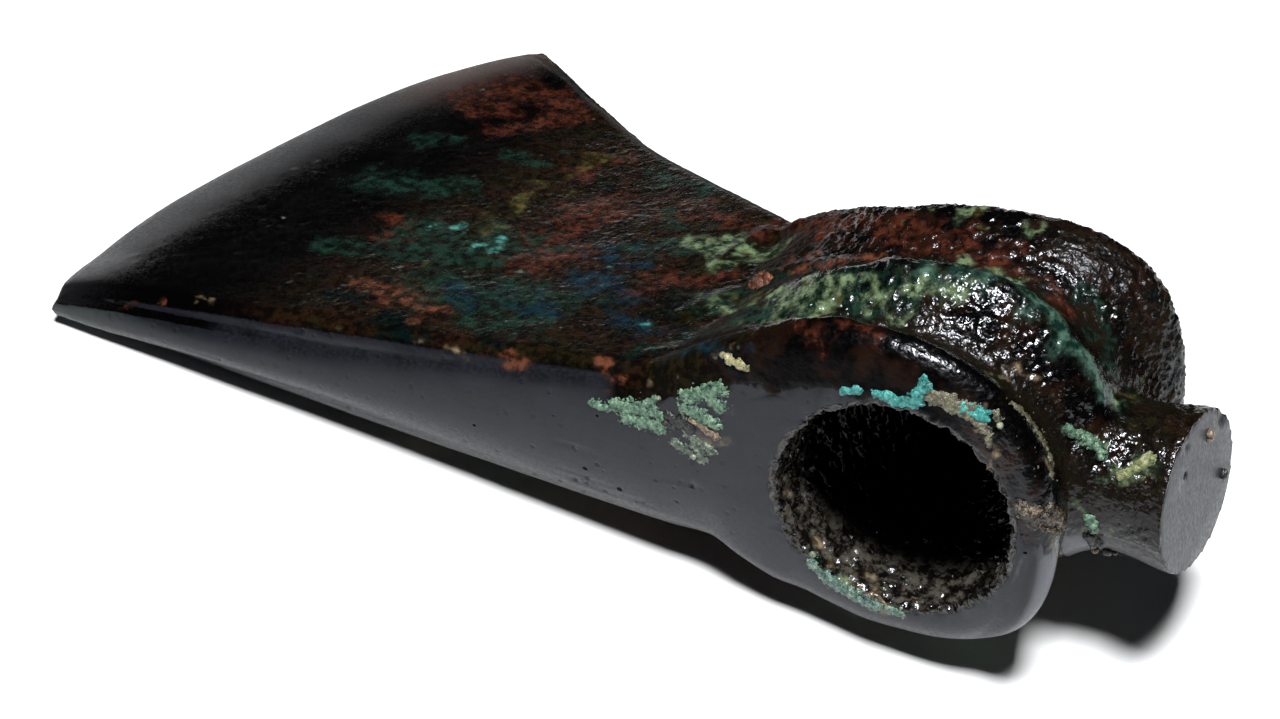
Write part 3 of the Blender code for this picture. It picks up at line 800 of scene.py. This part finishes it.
# Crusts that stand on the metal, each a closed lump: strokes as above, which way it faces, how high it
# stands and how wide its lumps are in millimetres, how ragged it is, and the name of its colours.
crusts = {
    "turquoiseCrust": {
        "facing": (0, -1, 0.1), "height": 0.34, "lump": 0.6, "ragged": 1, "colours": "turquoise",
        "strokes": [
            (-6.3, 0, 15, -4.6, 0, 15.6, 0.45), (-2.6, 0, 15.6, -0.9, 0, 15.7, 0.55),
            (-0.3, 0, 15.4, 2.2, 0, 15.8, 0.65), (1.8, 0, 16.6, 2.9, 0.1, 17.9, 0.6),
            (2.7, 0.1, 17.8, 2.6, 0.3, 19, 0.4), (7.4, 0.1, 16.3, 9.4, 0.5, 15.9, 0.75),
        ],
    },
    "oliveCrust": {
        "facing": (0.1, -1, 0.15), "height": 0.3, "lump": 0.42, "ragged": 1.5, "colours": "olive",
        "strokes": [
            (3.9, 0, 16.9, 6.1, 0.1, 16.9, 0.8), (5.6, 0, 16.5, 8.2, 0.2, 16.1, 0.8),
            (8, 0.1, 15.6, 10.2, 0.2, 14, 0.5), (10.4, 0.1, 13.2, 10.8, 0, 12.2, 0.35),
            (10.8, 1.2, 16, 11.2, 1, 15.4, 0.35),
        ],
    },
    "paleGreenCrust": {
        "facing": (0, -1, 0.1), "height": 0.42, "lump": 0.36, "ragged": 1.8, "colours": "verdigris",
        "strokes": [
            (-37.4, 0, 4.4, -35.5, 0, 4.3, 0.5), (-34.5, 0, 4.9, -29.6, 0, 5.5, 0.8),
            (-32.9, 0, 3.6, -28.4, 0, 3.8, 0.8), (-30.9, 0, 5.9, -29.3, 0, 7.2, 0.5),
            (-29, 0, 5.5, -28.1, 0, 4.3, 0.6), (-25.3, 0, 8.7, -21.1, 0, 11, 0.9),
            (-25.3, 0, 7.3, -23.3, 0, 7, 0.9), (-22.6, 0, 9.8, -21.1, 0, 8.8, 0.8),
            (-23.3, 0, 6.4, -21.4, 0, 6.3, 0.7),
        ],
    },
    "paleBlobs": {
        "facing": (0, -1, 0.1), "height": 0.26, "lump": 0.36, "ragged": 2, "colours": "greyGreen",
        "strokes": [
            (-26.4, 0, 2.1, -24.6, 0, 1.5, 0.6), (-24.3, 0, 3.3, -23.1, 0, 1, 0.7),
            (-22.8, 0, 2.9, -21.8, 0, 2.3, 0.5), (-24.9, 0, 4, -24, 0, 3.8, 0.45),
        ],
    },
    "darkCrust": {
        "facing": (0, -1, 0.1), "height": 0.42, "lump": 0.6, "ragged": 1, "colours": "black",
        "strokes": [
            (-27.3, 0, 5.5, -25.8, 0, 5.1, 0.7), (-25.6, 0, 5.8, -24.6, 0, 4.6, 0.7),
            (-27.8, 0, 4.6, -26.6, 0, 4.2, 0.4),
        ],
    },
    "tanCrust": {
        "facing": (0, -1, 0.1), "height": 0.45, "lump": 0.5, "ragged": 1.1, "colours": "tan",
        "strokes": [
            (-23.6, 0, 5.8, -21.3, 0, 4.7, 0.6), (-24.6, 0, 6.1, -23.3, 0, 5.9, 0.4),
        ],
    },
    "ochreCrust": {
        "facing": (-0.2, -0.87, 0.4), "height": 0.5, "lump": 0.5, "ragged": 1.2, "colours": "ochre",
        "strokes": [
            (-21, 0.8, 15.5, -19.2, 0.1, 15.1, 0.5), (-19.2, 0.2, 15.5, -18.2, 0, 15.1, 0.4),
        ],
    },
    "tanCluster": {
        "facing": (0.55, -0.75, 0.3), "height": 0.5, "lump": 0.6, "ragged": 1.3, "colours": "waxyTanPaintedGlints",
        "strokes": [
            (15.2, 0.2, 5.7, 16.6, 0.6, 3.6, 0.7), (16.5, 0.6, 5.2, 18, 1.9, 3.6, 0.8),
            (17.9, 2.1, 5.1, 18.6, 4.5, 1.1, 0.7), (17.5, 1, 3, 18.6, 3.1, 1.3, 0.4),
        ],
    },
    "crestCrust": {
        "facing": (0.55, -0.55, 0.6), "height": 0.2, "lump": 0.34, "ragged": 2.4, "colours": "olive",
        "strokes": [
            (11.7, 4.2, 16, 12.4, 5.5, 14.6, 0.3), (13, 5, 14.4, 14.3, 5.2, 12.9, 0.35),
            (14.3, 5.2, 12.9, 15.6, 5.2, 11, 0.4), (15.6, 5.2, 11, 16.7, 4.7, 9.2, 0.3),
            (16.7, 4.7, 9.2, 17, 3.3, 8.4, 0.25),
        ],
    },
    "knobCrustA": {
        "facing": (0.5, -0.6, 0.62), "height": 0.55, "lump": 0.6, "ragged": 1.2, "colours": "verdigris",
        "strokes": [
            (16.8, 10.5, 9.7, 18.2, 11.3, 8.5, 0.6), (18.2, 11.5, 8.6, 19.8, 11.8, 7.5, 0.7),
            (19.6, 11.6, 7.6, 20.6, 11.5, 6.8, 0.5),
        ],
    },
    "knobCrustB": {
        "facing": (0, -0.72, 0.69), "height": 0.45, "lump": 0.6, "ragged": 1.1, "colours": "paleOlive",
        "strokes": [
            (23.1, 10.6, 5.1, 24.6, 11.4, 6.2, 0.45), (24.6, 11.4, 6.2, 26, 12.4, 7.3, 0.5),
            (24.8, 11.9, 6.7, 25.6, 12.9, 7.6, 0.3),
        ],
    },
    "knobCrustC": {
        "facing": (0.3, -0.95, -0.05), "height": 0.6, "lump": 0.5, "ragged": 1.2, "colours": "verdigris",
        "strokes": [
            (20.7, 8.5, -0.1, 21.2, 8.9, -1.9, 0.6),
        ],
    },
    "knobCrustD": {
        "facing": (0.3, -0.9, -0.3), "height": 0.6, "lump": 0.5, "ragged": 1.2, "colours": "black",
        "strokes": [
            (20.8, 9, -3, 21.3, 9.8, -4.9, 0.6), (21.6, 9.5, -4, 22.2, 10, -5, 0.35),
        ],
    },
    "rustNodule": {
        "facing": (-0.2, -0.2, 0.95), "height": 0.95, "lump": 0.5, "ragged": 0.9, "colours": "rust",
        "strokes": [
            (-25.9, 24.1, 10.3, -25.4, 23.6, 10.4, 1.25),
        ],
    },
    "mouthCrust": {
        "facing": (0.25, -0.85, 0.5), "height": 0.34, "lump": 0.5, "ragged": 1.6, "colours": "mouth",
        "strokes": [
            (-9.5, 0.5, -10.6, -7.9, 0.3, -11.9, 0.5), (-7.7, 0.3, -12, -5.1, 0.2, -13.3, 0.6),
            (-5.1, 0.2, -13.4, -2.1, 0.2, -14.1, 0.6), (-1.9, 0.1, -14.2, 1.8, 0, -14.4, 0.5),
        ],
    },
}

crustDrop = {
    "hover": 0.004,             # a crust's grid hangs this far above the metal before it is dropped
    "fall": 0.010,              # and finds the metal within this distance
    "keptLevel": -0.45,         # cells below this level are left out
    "margin": 2.4,              # bare grid round the strokes, in widths of the widest
}

# Small round drops of corrosion: x, y, z and radius in millimetres.
beads = {
    "knobBeads": {"colours": "tan", "drops": [
        (30.4, 20.9, 6.2, 0.55), (30.5, 20.9, 5.5, 0.45), (21.1, 11.2, -6.6, 0.5),
    ]},
    "darkBeads": {"colours": "black", "drops": [
        (31.9, 24.7, -1.8, 0.62), (22.4, 11.6, -6.9, 0.6), (23.2, 12, -7, 0.4),
    ]},
    "paleBeads": {"colours": "chalky", "drops": [
        (31.95, 24.5, -1.6, 0.3), (-9.6, 1.5, -9.9, 0.45), (-0.3, 0, -14.3, 0.4), (-28.9, 0, 7.7, 0.3),
        (-24, 0, 1, 0.35), (11.4, 1.2, 14.9, 0.4),
    ]},
}


def crustOn(tree, name, recipe, seed):
    # A height field on a grid laid over the place and dropped on the metal. Its height is the strokes'
    # share plus two sizes of lumps, rounded off on top. Cells well below nought are left out; an
    # underside in the metal and walls round the rest close it.
    strokes = np.array(recipe["strokes"], float) / 1000.0
    facing = Vector(recipe["facing"]).normalized()
    sideways = facing.cross(Vector((0.0, 0.0, 1.0))).normalized()
    axes = np.array([sideways, facing.cross(sideways)])
    ends = strokes[:, :6].reshape(-1, 3)
    centre = ends.mean(axis=0)
    flat = ((ends - centre) @ axes.T).reshape(-1, 2, 2)
    margin = crustDrop["margin"] * strokes[:, 6].max()
    low, high = flat.min(axis=(0, 1)) - margin, flat.max(axis=(0, 1)) + margin
    step = fineness["crustCell"]
    u, v = np.meshgrid(np.arange(low[0], high[0], step), np.arange(low[1], high[1], step), indexing="ij")
    start = centre + u[..., None] * axes[0] + v[..., None] * axes[1] + np.array(facing) * crustDrop["hover"]
    ground, normal, found = start.copy(), np.zeros_like(start), np.zeros(u.shape, bool)
    for index in np.ndindex(u.shape):
        place, way, face, gap = tree.ray_cast(Vector(start[index]), -facing, crustDrop["fall"])
        if place is not None:
            ground[index], normal[index], found[index] = place, way, True
    points = start.reshape(-1, 3)
    lump = recipe["lump"] / 1000.0
    push = np.stack([cornerNoise(points, lump * 1.6, seed + k) for k in range(2)], 1) * lump * 0.5
    push = push.reshape(*u.shape, 2) * recipe["ragged"]
    share = np.zeros(u.shape)
    for ends, width in zip(flat, strokes[:, 6]):
        run = ends[1] - ends[0]
        offset = np.stack([u, v], 2) + push - ends[0]
        along = np.clip(offset @ run / max(run @ run, 1e-12), 0.0, 1.0)
        gap = np.linalg.norm(offset - along[..., None] * run, axis=2)
        share = np.maximum(share, 0.5 ** ((gap / width) ** 2))
    lumps = 0.32 * cornerNoise(points, lump, seed + 5) + 0.30 * cornerNoise(points, lump * 0.45, seed + 6)
    lumps = lumps.reshape(u.shape) * recipe["ragged"]
    level = np.clip(share * 1.7 - 0.75 + lumps, -0.6, 1.1)
    up = np.where(level > 0.0, 1.0 - (1.0 - np.minimum(level, 1.0)) ** 2 + 0.3 * lumps, level)
    top = ground + normal * (up * recipe["height"] / 1000.0)[..., None]
    base = ground - normal * (0.0001 + 0.00075 * recipe["height"])
    kept = (level > crustDrop["keptLevel"]) & found
    usable = found[:-1, :-1] & found[1:, :-1] & found[1:, 1:] & found[:-1, 1:]
    kept = (kept[:-1, :-1] | kept[1:, :-1] | kept[1:, 1:] | kept[:-1, 1:]) & usable
    spot = np.arange(u.size).reshape(u.shape)
    quads = np.stack([spot[:-1, :-1], spot[1:, :-1], spot[1:, 1:], spot[:-1, 1:]], -1)[kept]
    starts, stops = quads.ravel(), np.roll(quads, -1, 1).ravel()
    alone = ~np.isin(starts * u.size + stops, stops * u.size + starts)
    starts, stops = starts[alone], stops[alone]
    walls = np.stack([stops, starts, starts + u.size, stops + u.size], 1)
    faces = np.vstack([quads, quads[:, ::-1] + u.size, walls])
    used, faces = np.unique(faces, return_inverse=True)
    corners = np.vstack([top.reshape(-1, 3), base.reshape(-1, 3)])[used]
    mesh = bpy.data.meshes.new(name)
    mesh.from_pydata(corners.tolist(), [], faces.reshape(-1, 4).tolist())
    return placed(name, mesh)


def beadsOn(tree, name, recipe, seed):
    # each drop is a ball whose radius varies a little with noise, sunk by a third of it in the metal
    form = bmesh.new()
    for x, y, z, radius in recipe["drops"]:
        place, way, face, gap = tree.find_nearest(Vector((x, y, z)) / 1000.0)
        ball = bmesh.ops.create_icosphere(form, subdivisions=3, radius=radius / 1000.0)["verts"]
        points = np.array([corner.co for corner in ball])
        swell = 1.0 + 0.22 * cornerNoise(points + (x, y, z), radius * 0.0009, seed)
        for corner, scale in zip(ball, swell):
            corner.co = Vector(corner.co) * scale + place + way * radius * 0.0003
    mesh = bpy.data.meshes.new(name)
    form.to_mesh(mesh)
    form.free()
    return placed(name, mesh)


def makeCrusts(casting):
    mesh = casting.data
    tree = BVHTree.FromPolygons([v.co for v in mesh.vertices], [p.vertices[:] for p in mesh.polygons])
    pieces = []
    for number, (name, recipe) in enumerate(crusts.items()):
        pieces.append((crustOn(tree, name, recipe, 300 + 10 * number), recipe["colours"]))
    for number, (name, recipe) in enumerate(beads.items()):
        pieces.append((beadsOn(tree, name, recipe, 500 + number), recipe["colours"]))
    faces = sum(len(piece.data.polygons) for piece, colours in pieces)
    print("crusts formed:", len(pieces), "pieces,", faces, "faces")
    return pieces


crustPieces = makeCrusts(axeHead)


# Dark waxed bronze. Colours are linear red, green, blue; each corrosion has two tones.
bronzeLook = {
    "dark": (0.0005, 0.0004, 0.0005),
    "brown": (0.0140, 0.0058, 0.0028),
    "olive": (0.0090, 0.0072, 0.0024),
    "teal": (0.0008, 0.0042, 0.0040),
    "groove": (0.0060, 0.0044, 0.0024),
    "slate": ((0.0019, 0.0021, 0.0038), (0.0040, 0.0044, 0.0078)),
    # painted sheen: a pale grey laid on the near side's turned rims and under the knob, for light and the
    # floor's reflection
    "paintedRimSheen": (0.092, 0.096, 0.110),
    "greyTip": (0.0120, 0.0165, 0.0150),
    "endFace": (0.030, 0.032, 0.037),
    "worn": (0.0030, 0.0028, 0.0034),
    # partly rust and partly a painted sheen on the worn band's far corner
    "farCornerRustAndSheen": (0.046, 0.026, 0.020),
    "holeWall": ((0.0024, 0.0019, 0.0015), (0.0560, 0.0510, 0.0420)),
    "flecks": (0.170, 0.210, 0.150),
    "grains": (0.060, 0.095, 0.072),
    "rust": ((0.0075, 0.0022, 0.0012), (0.068, 0.0170, 0.0080)),
    "copper": ((0.016, 0.006, 0.003), (0.120, 0.040, 0.020)),
    "green": ((0.0005, 0.0028, 0.0018), (0.0075, 0.029, 0.019)),
    "blueGreen": ((0.0008, 0.0032, 0.0055), (0.0035, 0.021, 0.034)),
    "paleGreen": ((0.003, 0.011, 0.005), (0.160, 0.220, 0.115)),
    "jade": ((0.003, 0.015, 0.011), (0.060, 0.125, 0.092)),
    "turquoise": ((0.01, 0.08, 0.07), (0.12, 0.38, 0.33)),
    "yellow": ((0.010, 0.008, 0.0020), (0.085, 0.070, 0.018)),
    "tan": ((0.03, 0.020, 0.012), (0.28, 0.21, 0.12)),
    "roughness": (0.15, 0.27),
    "shineTint": (0.90, 0.93, 1.0),
    "fineRelief": 0.00015,          # depth in metres
}

# Crust colours: in the hollows, in between, and on the lumps. They follow the bump relief, so the darker
# hollow tone is partly painted shade and the paler lump tone partly painted light.
crustLook = {
    "turquoise": ((0.004, 0.040, 0.038), (0.018, 0.200, 0.180), (0.120, 0.420, 0.380)),
    "verdigris": ((0.010, 0.035, 0.022), (0.070, 0.140, 0.090), (0.220, 0.340, 0.230)),
    "chalky": ((0.016, 0.024, 0.014), (0.140, 0.170, 0.110), (0.420, 0.440, 0.330)),
    "greyGreen": ((0.008, 0.014, 0.011), (0.060, 0.085, 0.064), (0.260, 0.310, 0.230)),
    "mouth": ((0.006, 0.022, 0.020), (0.050, 0.110, 0.090), (0.260, 0.320, 0.240)),
    "olive": ((0.014, 0.012, 0.006), (0.080, 0.076, 0.045), (0.230, 0.220, 0.150)),
    "paleOlive": ((0.030, 0.040, 0.012), (0.150, 0.170, 0.070), (0.320, 0.330, 0.190)),
    "tan": ((0.020, 0.012, 0.008), (0.150, 0.105, 0.070), (0.420, 0.330, 0.230)),
    # waxy tan crust: its lump tone, far paler than the rest, is painted golden glints
    "waxyTanPaintedGlints": ((0.0015, 0.0012, 0.0008), (0.016, 0.010, 0.006), (0.260, 0.200, 0.120)),
    "ochre": ((0.050, 0.045, 0.018), (0.230, 0.210, 0.100), (0.460, 0.430, 0.260)),
    "rust": ((0.012, 0.003, 0.0015), (0.075, 0.021, 0.008), (0.200, 0.068, 0.026)),
    "black": ((0.001, 0.001, 0.001), (0.004, 0.004, 0.005), (0.014, 0.013, 0.014)),
}


class Wiring:
    # short ways to add and join a material's nodes
    def __init__(self, name):
        self.material = bpy.data.materials.new(name)
        self.material.use_nodes = True
        self.tree = self.material.node_tree
        self.shader = self.tree.nodes["Principled BSDF"]
        self.place = self.add("ShaderNodeTexCoord").outputs["Object"]

    def add(self, kind, **settings):
        node = self.tree.nodes.new(kind)
        for key, value in settings.items():
            setattr(node, key, value)
        return node

    def feed(self, socket, value):
        if isinstance(value, bpy.types.NodeSocket):
            self.tree.links.new(value, socket)
        elif isinstance(value, tuple):
            socket.default_value = (*value, 1.0)
        else:
            socket.default_value = value

    def noise(self, cell, detail=2.0, roughness=0.55, stretch=None):
        # noise whose features are about one cell across, in metres
        place = self.place
        if stretch:
            scaled = self.add("ShaderNodeMapping")
            self.feed(scaled.inputs["Vector"], place)
            scaled.inputs["Scale"].default_value = stretch
            place = scaled.outputs["Vector"]
        node = self.add("ShaderNodeTexNoise")
        self.feed(node.inputs["Vector"], place)
        node.inputs["Scale"].default_value = 1.0 / cell
        node.inputs["Detail"].default_value = detail
        node.inputs["Roughness"].default_value = roughness
        return node.outputs["Fac"]

    def spots(self, cell, radius, kept):
        # round spots, one in each cell whose own random number is over kept
        texture = self.add("ShaderNodeTexVoronoi")
        texture.inputs["Scale"].default_value = 1.0 / cell
        self.feed(texture.inputs["Vector"], self.place)
        picked = self.ramp(texture.outputs["Color"], kept, kept + 0.02)
        return self.times(picked, self.ramp(texture.outputs["Distance"], radius / cell, 0.6 * radius / cell))

    def share(self, name):
        return self.add("ShaderNodeAttribute", attribute_name=name).outputs["Fac"]

    def calc(self, operation, a, b):
        node = self.add("ShaderNodeMath", operation=operation)
        self.feed(node.inputs[0], a)
        self.feed(node.inputs[1], b)
        return node.outputs[0]

    def plus(self, a, b):
        return self.calc("ADD", a, b)

    def minus(self, a, b):
        return self.calc("SUBTRACT", a, b)

    def times(self, a, b):
        return self.calc("MULTIPLY", a, b)

    def larger(self, a, b):
        return self.calc("MAXIMUM", a, b)

    def ramp(self, value, low, high, start=0.0, end=1.0):
        node = self.add("ShaderNodeMapRange", interpolation_type="SMOOTHSTEP")
        for socket, setting in zip(node.inputs, (value, low, high, start, end)):
            self.feed(socket, setting)
        return node.outputs[0]

    def mix(self, share, a, b):
        node = self.add("ShaderNodeMix", data_type="RGBA")
        self.feed(node.inputs[0], share)
        self.feed(node.inputs[6], a)
        self.feed(node.inputs[7], b)
        return node.outputs[2]

    def total(self, start, *parts):
        # the start plus each share times its amount
        for share, amount in parts:
            start = self.plus(start, self.times(share, amount))
        return start

    def surface(self, colour, gloss, height, depth):
        # the shader's colour and roughness, and a relief as deep as depth, in metres
        self.feed(self.shader.inputs["Base Color"], colour)
        self.feed(self.shader.inputs["Roughness"], gloss)
        bump = self.add("ShaderNodeBump")
        bump.inputs["Distance"].default_value = depth
        self.feed(bump.inputs["Height"], height)
        self.feed(self.shader.inputs["Normal"], bump.outputs["Normal"])


def patinatedBronze():
    wire = Wiring("patinatedBronze")
    look = bronzeLook
    crinkled, mottled, dull = wire.share("crinkled"), wire.share("mottled"), wire.share("dull")
    grooves, paintedHoleShade, endFace = wire.share("grooves"), wire.share("paintedHoleShade"), wire.share("endFace")
    slow = wire.noise(0.0042, 3.0)
    middle = wire.noise(0.0012, 4.0, 0.65)
    fine = wire.noise(0.00045, 2.0)
    # the ground, from black over brown to olive and teal
    colour = wire.mix(wire.ramp(slow, 0.46, 0.66, 0.0, 0.8), look["dark"], look["brown"])
    colour = wire.mix(crinkled, look["dark"], colour)
    olive = wire.ramp(wire.noise(0.0060, 4.0, 0.6), 0.40, 0.60)
    ground = wire.mix(olive, look["brown"], look["olive"])
    ground = wire.mix(wire.ramp(wire.noise(0.0075, 4.0, 0.6), 0.53, 0.68), ground, look["teal"])
    ground = wire.mix(wire.ramp(middle, 0.62, 0.42, 0.0, 0.80), ground, look["dark"])
    colour = wire.mix(mottled, colour, ground)
    colour = wire.mix(wire.times(grooves, 0.8), colour, look["groove"])
    wall = wire.mix(wire.ramp(wire.noise(0.0016, 5.0, 0.7), 0.44, 0.62), *look["holeWall"])
    colour = wire.mix(wire.share("holeWall"), colour, wall)
    # the corrosion's colours, each broken up at its borders and in two tones
    crust = 0.0
    fineBreaks = wire.total(1.7, (crinkled, 0.8))
    for number, name in enumerate(patina):
        painted = wire.share(name)
        broken = wire.noise(0.0022 + 0.0004 * (number % 3), 5.0, 0.58)
        breaks = wire.times(wire.times(wire.minus(broken, 0.5), fineBreaks), wire.ramp(painted, 0.02, 0.2))
        share = wire.ramp(wire.plus(painted, breaks), 0.02, 1.0, 0.0, 0.86)
        tones = wire.ramp(wire.noise(0.0012 + 0.0001 * number, 5.0, 0.62), 0.40, 0.64)
        colour = wire.mix(share, colour, wire.mix(tones, *look[name]))
        crust = wire.larger(crust, share)
    # pale grains on it
    flecks = wire.times(wire.spots(0.0008, 0.00020, 0.66), wire.ramp(wire.noise(0.0035, 3.0), 0.52, 0.62))
    flecks = wire.times(flecks, wire.larger(wire.share("turquoise"), wire.share("paleGreen")))
    grains = wire.times(wire.spots(0.0013, 0.00034, 0.72), wire.ramp(wire.noise(0.0050, 3.0), 0.50, 0.60))
    grains = wire.times(grains, wire.times(mottled, wire.ramp(middle, 0.40, 0.60, 0.2, 0.8)))
    colour = wire.mix(grains, colour, look["grains"])
    colour = wire.mix(wire.times(flecks, 0.8), colour, look["flecks"])
    # painted shade deep in the hole: dark colour
    colour = wire.mix(paintedHoleShade, colour, look["dark"])
    # the smooth near side, the knob's end and the worn edge, where nothing covers them
    free = wire.minus(1.0, crust)
    smooth = wire.ramp(wire.share("smooth"), 0.45, 0.8)
    bare = wire.times(smooth, free)
    worn = wire.times(wire.share("worn"), free)
    slate = wire.mix(wire.ramp(slow, 0.35, 0.7), *look["slate"])
    tip = wire.times(wire.share("greyTip"), wire.ramp(middle, 0.30, 0.50))
    slate = wire.mix(tip, slate, look["greyTip"])
    # painted sheen on the turned rims and under the knob: a pale grey for light and the floor's reflection
    slate = wire.mix(wire.share("paintedRimSheen"), slate, look["paintedRimSheen"])
    slate = wire.mix(endFace, slate, look["endFace"])
    colour = wire.mix(bare, colour, slate)
    # the worn band turns reddish and paler at the far corner: partly rust, partly painted sheen
    rim = wire.mix(wire.share("farCornerRustAndSheen"), look["worn"], look["farCornerRustAndSheen"])
    colour = wire.mix(wire.times(worn, 0.8), colour, rim)
    pits = wire.times(wire.spots(0.0019, 0.00044, 0.45), wire.share("pitArea"))
    pits = wire.larger(pits, wire.times(wire.spots(0.0052, 0.00026, 0.55), bare))
    colour = wire.mix(wire.ramp(pits, 0.2, 0.6), colour, look["dark"])
    # gloss, and how strongly each part shines
    brushed = wire.times(wire.minus(wire.noise(0.0004, 3.0, 0.6, (1.0, 1.0, 0.06)), 0.5), endFace)
    gloss = wire.total(
        wire.ramp(fine, 0.35, 0.65, *look["roughness"]),
        (crust, 0.05), (wire.larger(bare, worn), 0.21), (grooves, 0.08), (brushed, 0.25), (dull, 0.30))
    lively = wire.larger(wire.larger(crinkled, wire.share("worn")), smooth)
    lively = wire.larger(lively, wire.times(mottled, 0.25))
    # the shine is lowered deep in the hole, with the painted shade there
    shine = wire.total(
        0.5, (pits, -0.45), (bare, -0.12), (dull, -0.46), (grooves, -0.22),
        (wire.minus(1.0, lively), -0.36), (paintedHoleShade, -0.46))
    wire.feed(wire.shader.inputs["Specular IOR Level"], wire.larger(shine, 0.02))
    wire.shader.inputs["Specular Tint"].default_value = (*look["shineTint"], 1.0)
    # fine relief
    grit = wire.total(0.0, (wire.noise(0.00060, 1.0), 0.8), (wire.noise(0.0010, 2.0), 2.0))
    rough = wire.total(0.05, (crinkled, 0.68), (mottled, 0.24))
    rough = wire.times(rough, wire.total(1.0, (bare, -0.96)))
    rough = wire.times(rough, wire.total(1.0, (worn, -0.85)))
    height = wire.total(wire.times(grit, rough), (brushed, 0.25), (pits, -1.2))
    wire.surface(colour, gloss, height, look["fineRelief"])
    return wire.material


def crustMaterial(name, tones):
    # three tones by the crust's own lumps, dusty between glossy waxed grains; the tones follow the bump
    # relief, so the dark hollows are partly painted shade and the pale lumps partly painted light
    wire = Wiring(name)
    lumps = wire.noise(0.0007, 4.0, 0.65)
    grains = wire.noise(0.00022, 2.0)
    colour = wire.mix(wire.ramp(lumps, 0.34, 0.50), tones[0], tones[1])
    # painted light: the pale tone on the raised lumps and grains
    paintedLumpLight = wire.times(wire.ramp(lumps, 0.48, 0.66), wire.ramp(grains, 0.30, 0.60))
    colour = wire.mix(paintedLumpLight, colour, tones[2])
    gloss = wire.ramp(grains, 0.35, 0.65, 0.20, 0.55)
    wire.surface(colour, gloss, wire.total(grains, (lumps, 1.5)), 0.00012)
    return wire.material


def lieDown(piece):
    # turns the mesh as the axe lies, and lets nothing sink into the table
    down = Vector(lie["downward"]).normalized()
    turn = np.array(down.rotation_difference(Vector((0.0, 0.0, -1.0))).to_matrix())
    points = pointsOf(piece.data) @ turn.T + np.array(lie["nearMouth"])
    points[:, 2] = np.maximum(points[:, 2], 0.0)
    setPoints(piece.data, points)


def finishPiece(piece, material):
    piece.data.materials.clear()
    piece.data.materials.append(material)
    piece.data.shade_smooth()
    lieDown(piece)
    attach(piece, "root")


finishPiece(axeHead, patinatedBronze())
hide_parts("axe_head")
finishes = {colours: crustMaterial(colours + "Crust", crustLook[colours]) for piece, colours in crustPieces}
for piece, colours in crustPieces:
    finishPiece(piece, finishes[colours])
print("pieces finished")


studio = {
    "cameraPlace": (0.079597, -0.241370, 0.222947),
    "cameraTurn": (47.71487, -5.94696, 25.05269),   # degrees about X, Y, Z
    "lens": 70.51,
    "tableHalf": 0.5,
    "floor": (0.86, 0.865, 0.875),
    "surround": (0.95, 0.97, 1.0),
    "surroundStrength": 0.010,
    # place, aim, width, depth, power in watts
    "overhead": ((0.060, -0.243, 0.765), (0.02, -0.01, 0.0), 0.16, 0.16, 12.0),
}


def addLight(name, settings):
    place, aim, width, depth, power = settings
    light = bpy.data.lights.new(name, "AREA")
    light.shape = "RECTANGLE"
    light.size, light.size_y = width, depth
    light.energy = power
    thing = placed(name, light)
    thing.location = place
    thing.rotation_euler = (Vector(aim) - Vector(place)).to_track_quat("-Z", "Y").to_euler()


def makeStudio():
    mesh = bpy.data.meshes.new("table")
    half = studio["tableHalf"]
    mesh.from_pydata([(-half, -half, 0.0), (half, -half, 0.0), (half, half, 0.0), (-half, half, 0.0)],
                     [], [(0, 1, 2, 3)])
    table = placed("table", mesh)
    paper = bpy.data.materials.new("whitePaper")
    paper.use_nodes = True
    paperInputs = paper.node_tree.nodes["Principled BSDF"].inputs
    paperInputs["Base Color"].default_value = (*studio["floor"], 1.0)
    paperInputs["Roughness"].default_value = 0.9
    paperInputs["Specular IOR Level"].default_value = 0.1
    mesh.materials.append(paper)
    world = bpy.data.worlds.new("softSurround")
    world.use_nodes = True
    background = world.node_tree.nodes["Background"]
    background.inputs["Color"].default_value = (*studio["surround"], 1.0)
    background.inputs["Strength"].default_value = studio["surroundStrength"]
    bpy.context.scene.world = world
    addLight("overhead", studio["overhead"])
    camera = placed("camera", bpy.data.cameras.new("camera"))
    camera.data.lens = studio["lens"]
    camera.data.sensor_width = 36.0
    camera.data.clip_start = 0.01
    camera.location = studio["cameraPlace"]
    camera.rotation_euler = [math.radians(angle) for angle in studio["cameraTurn"]]
    bpy.context.scene.camera = camera
    bpy.context.scene.view_settings.view_transform = "Standard"
    print("studio made")


makeStudio()
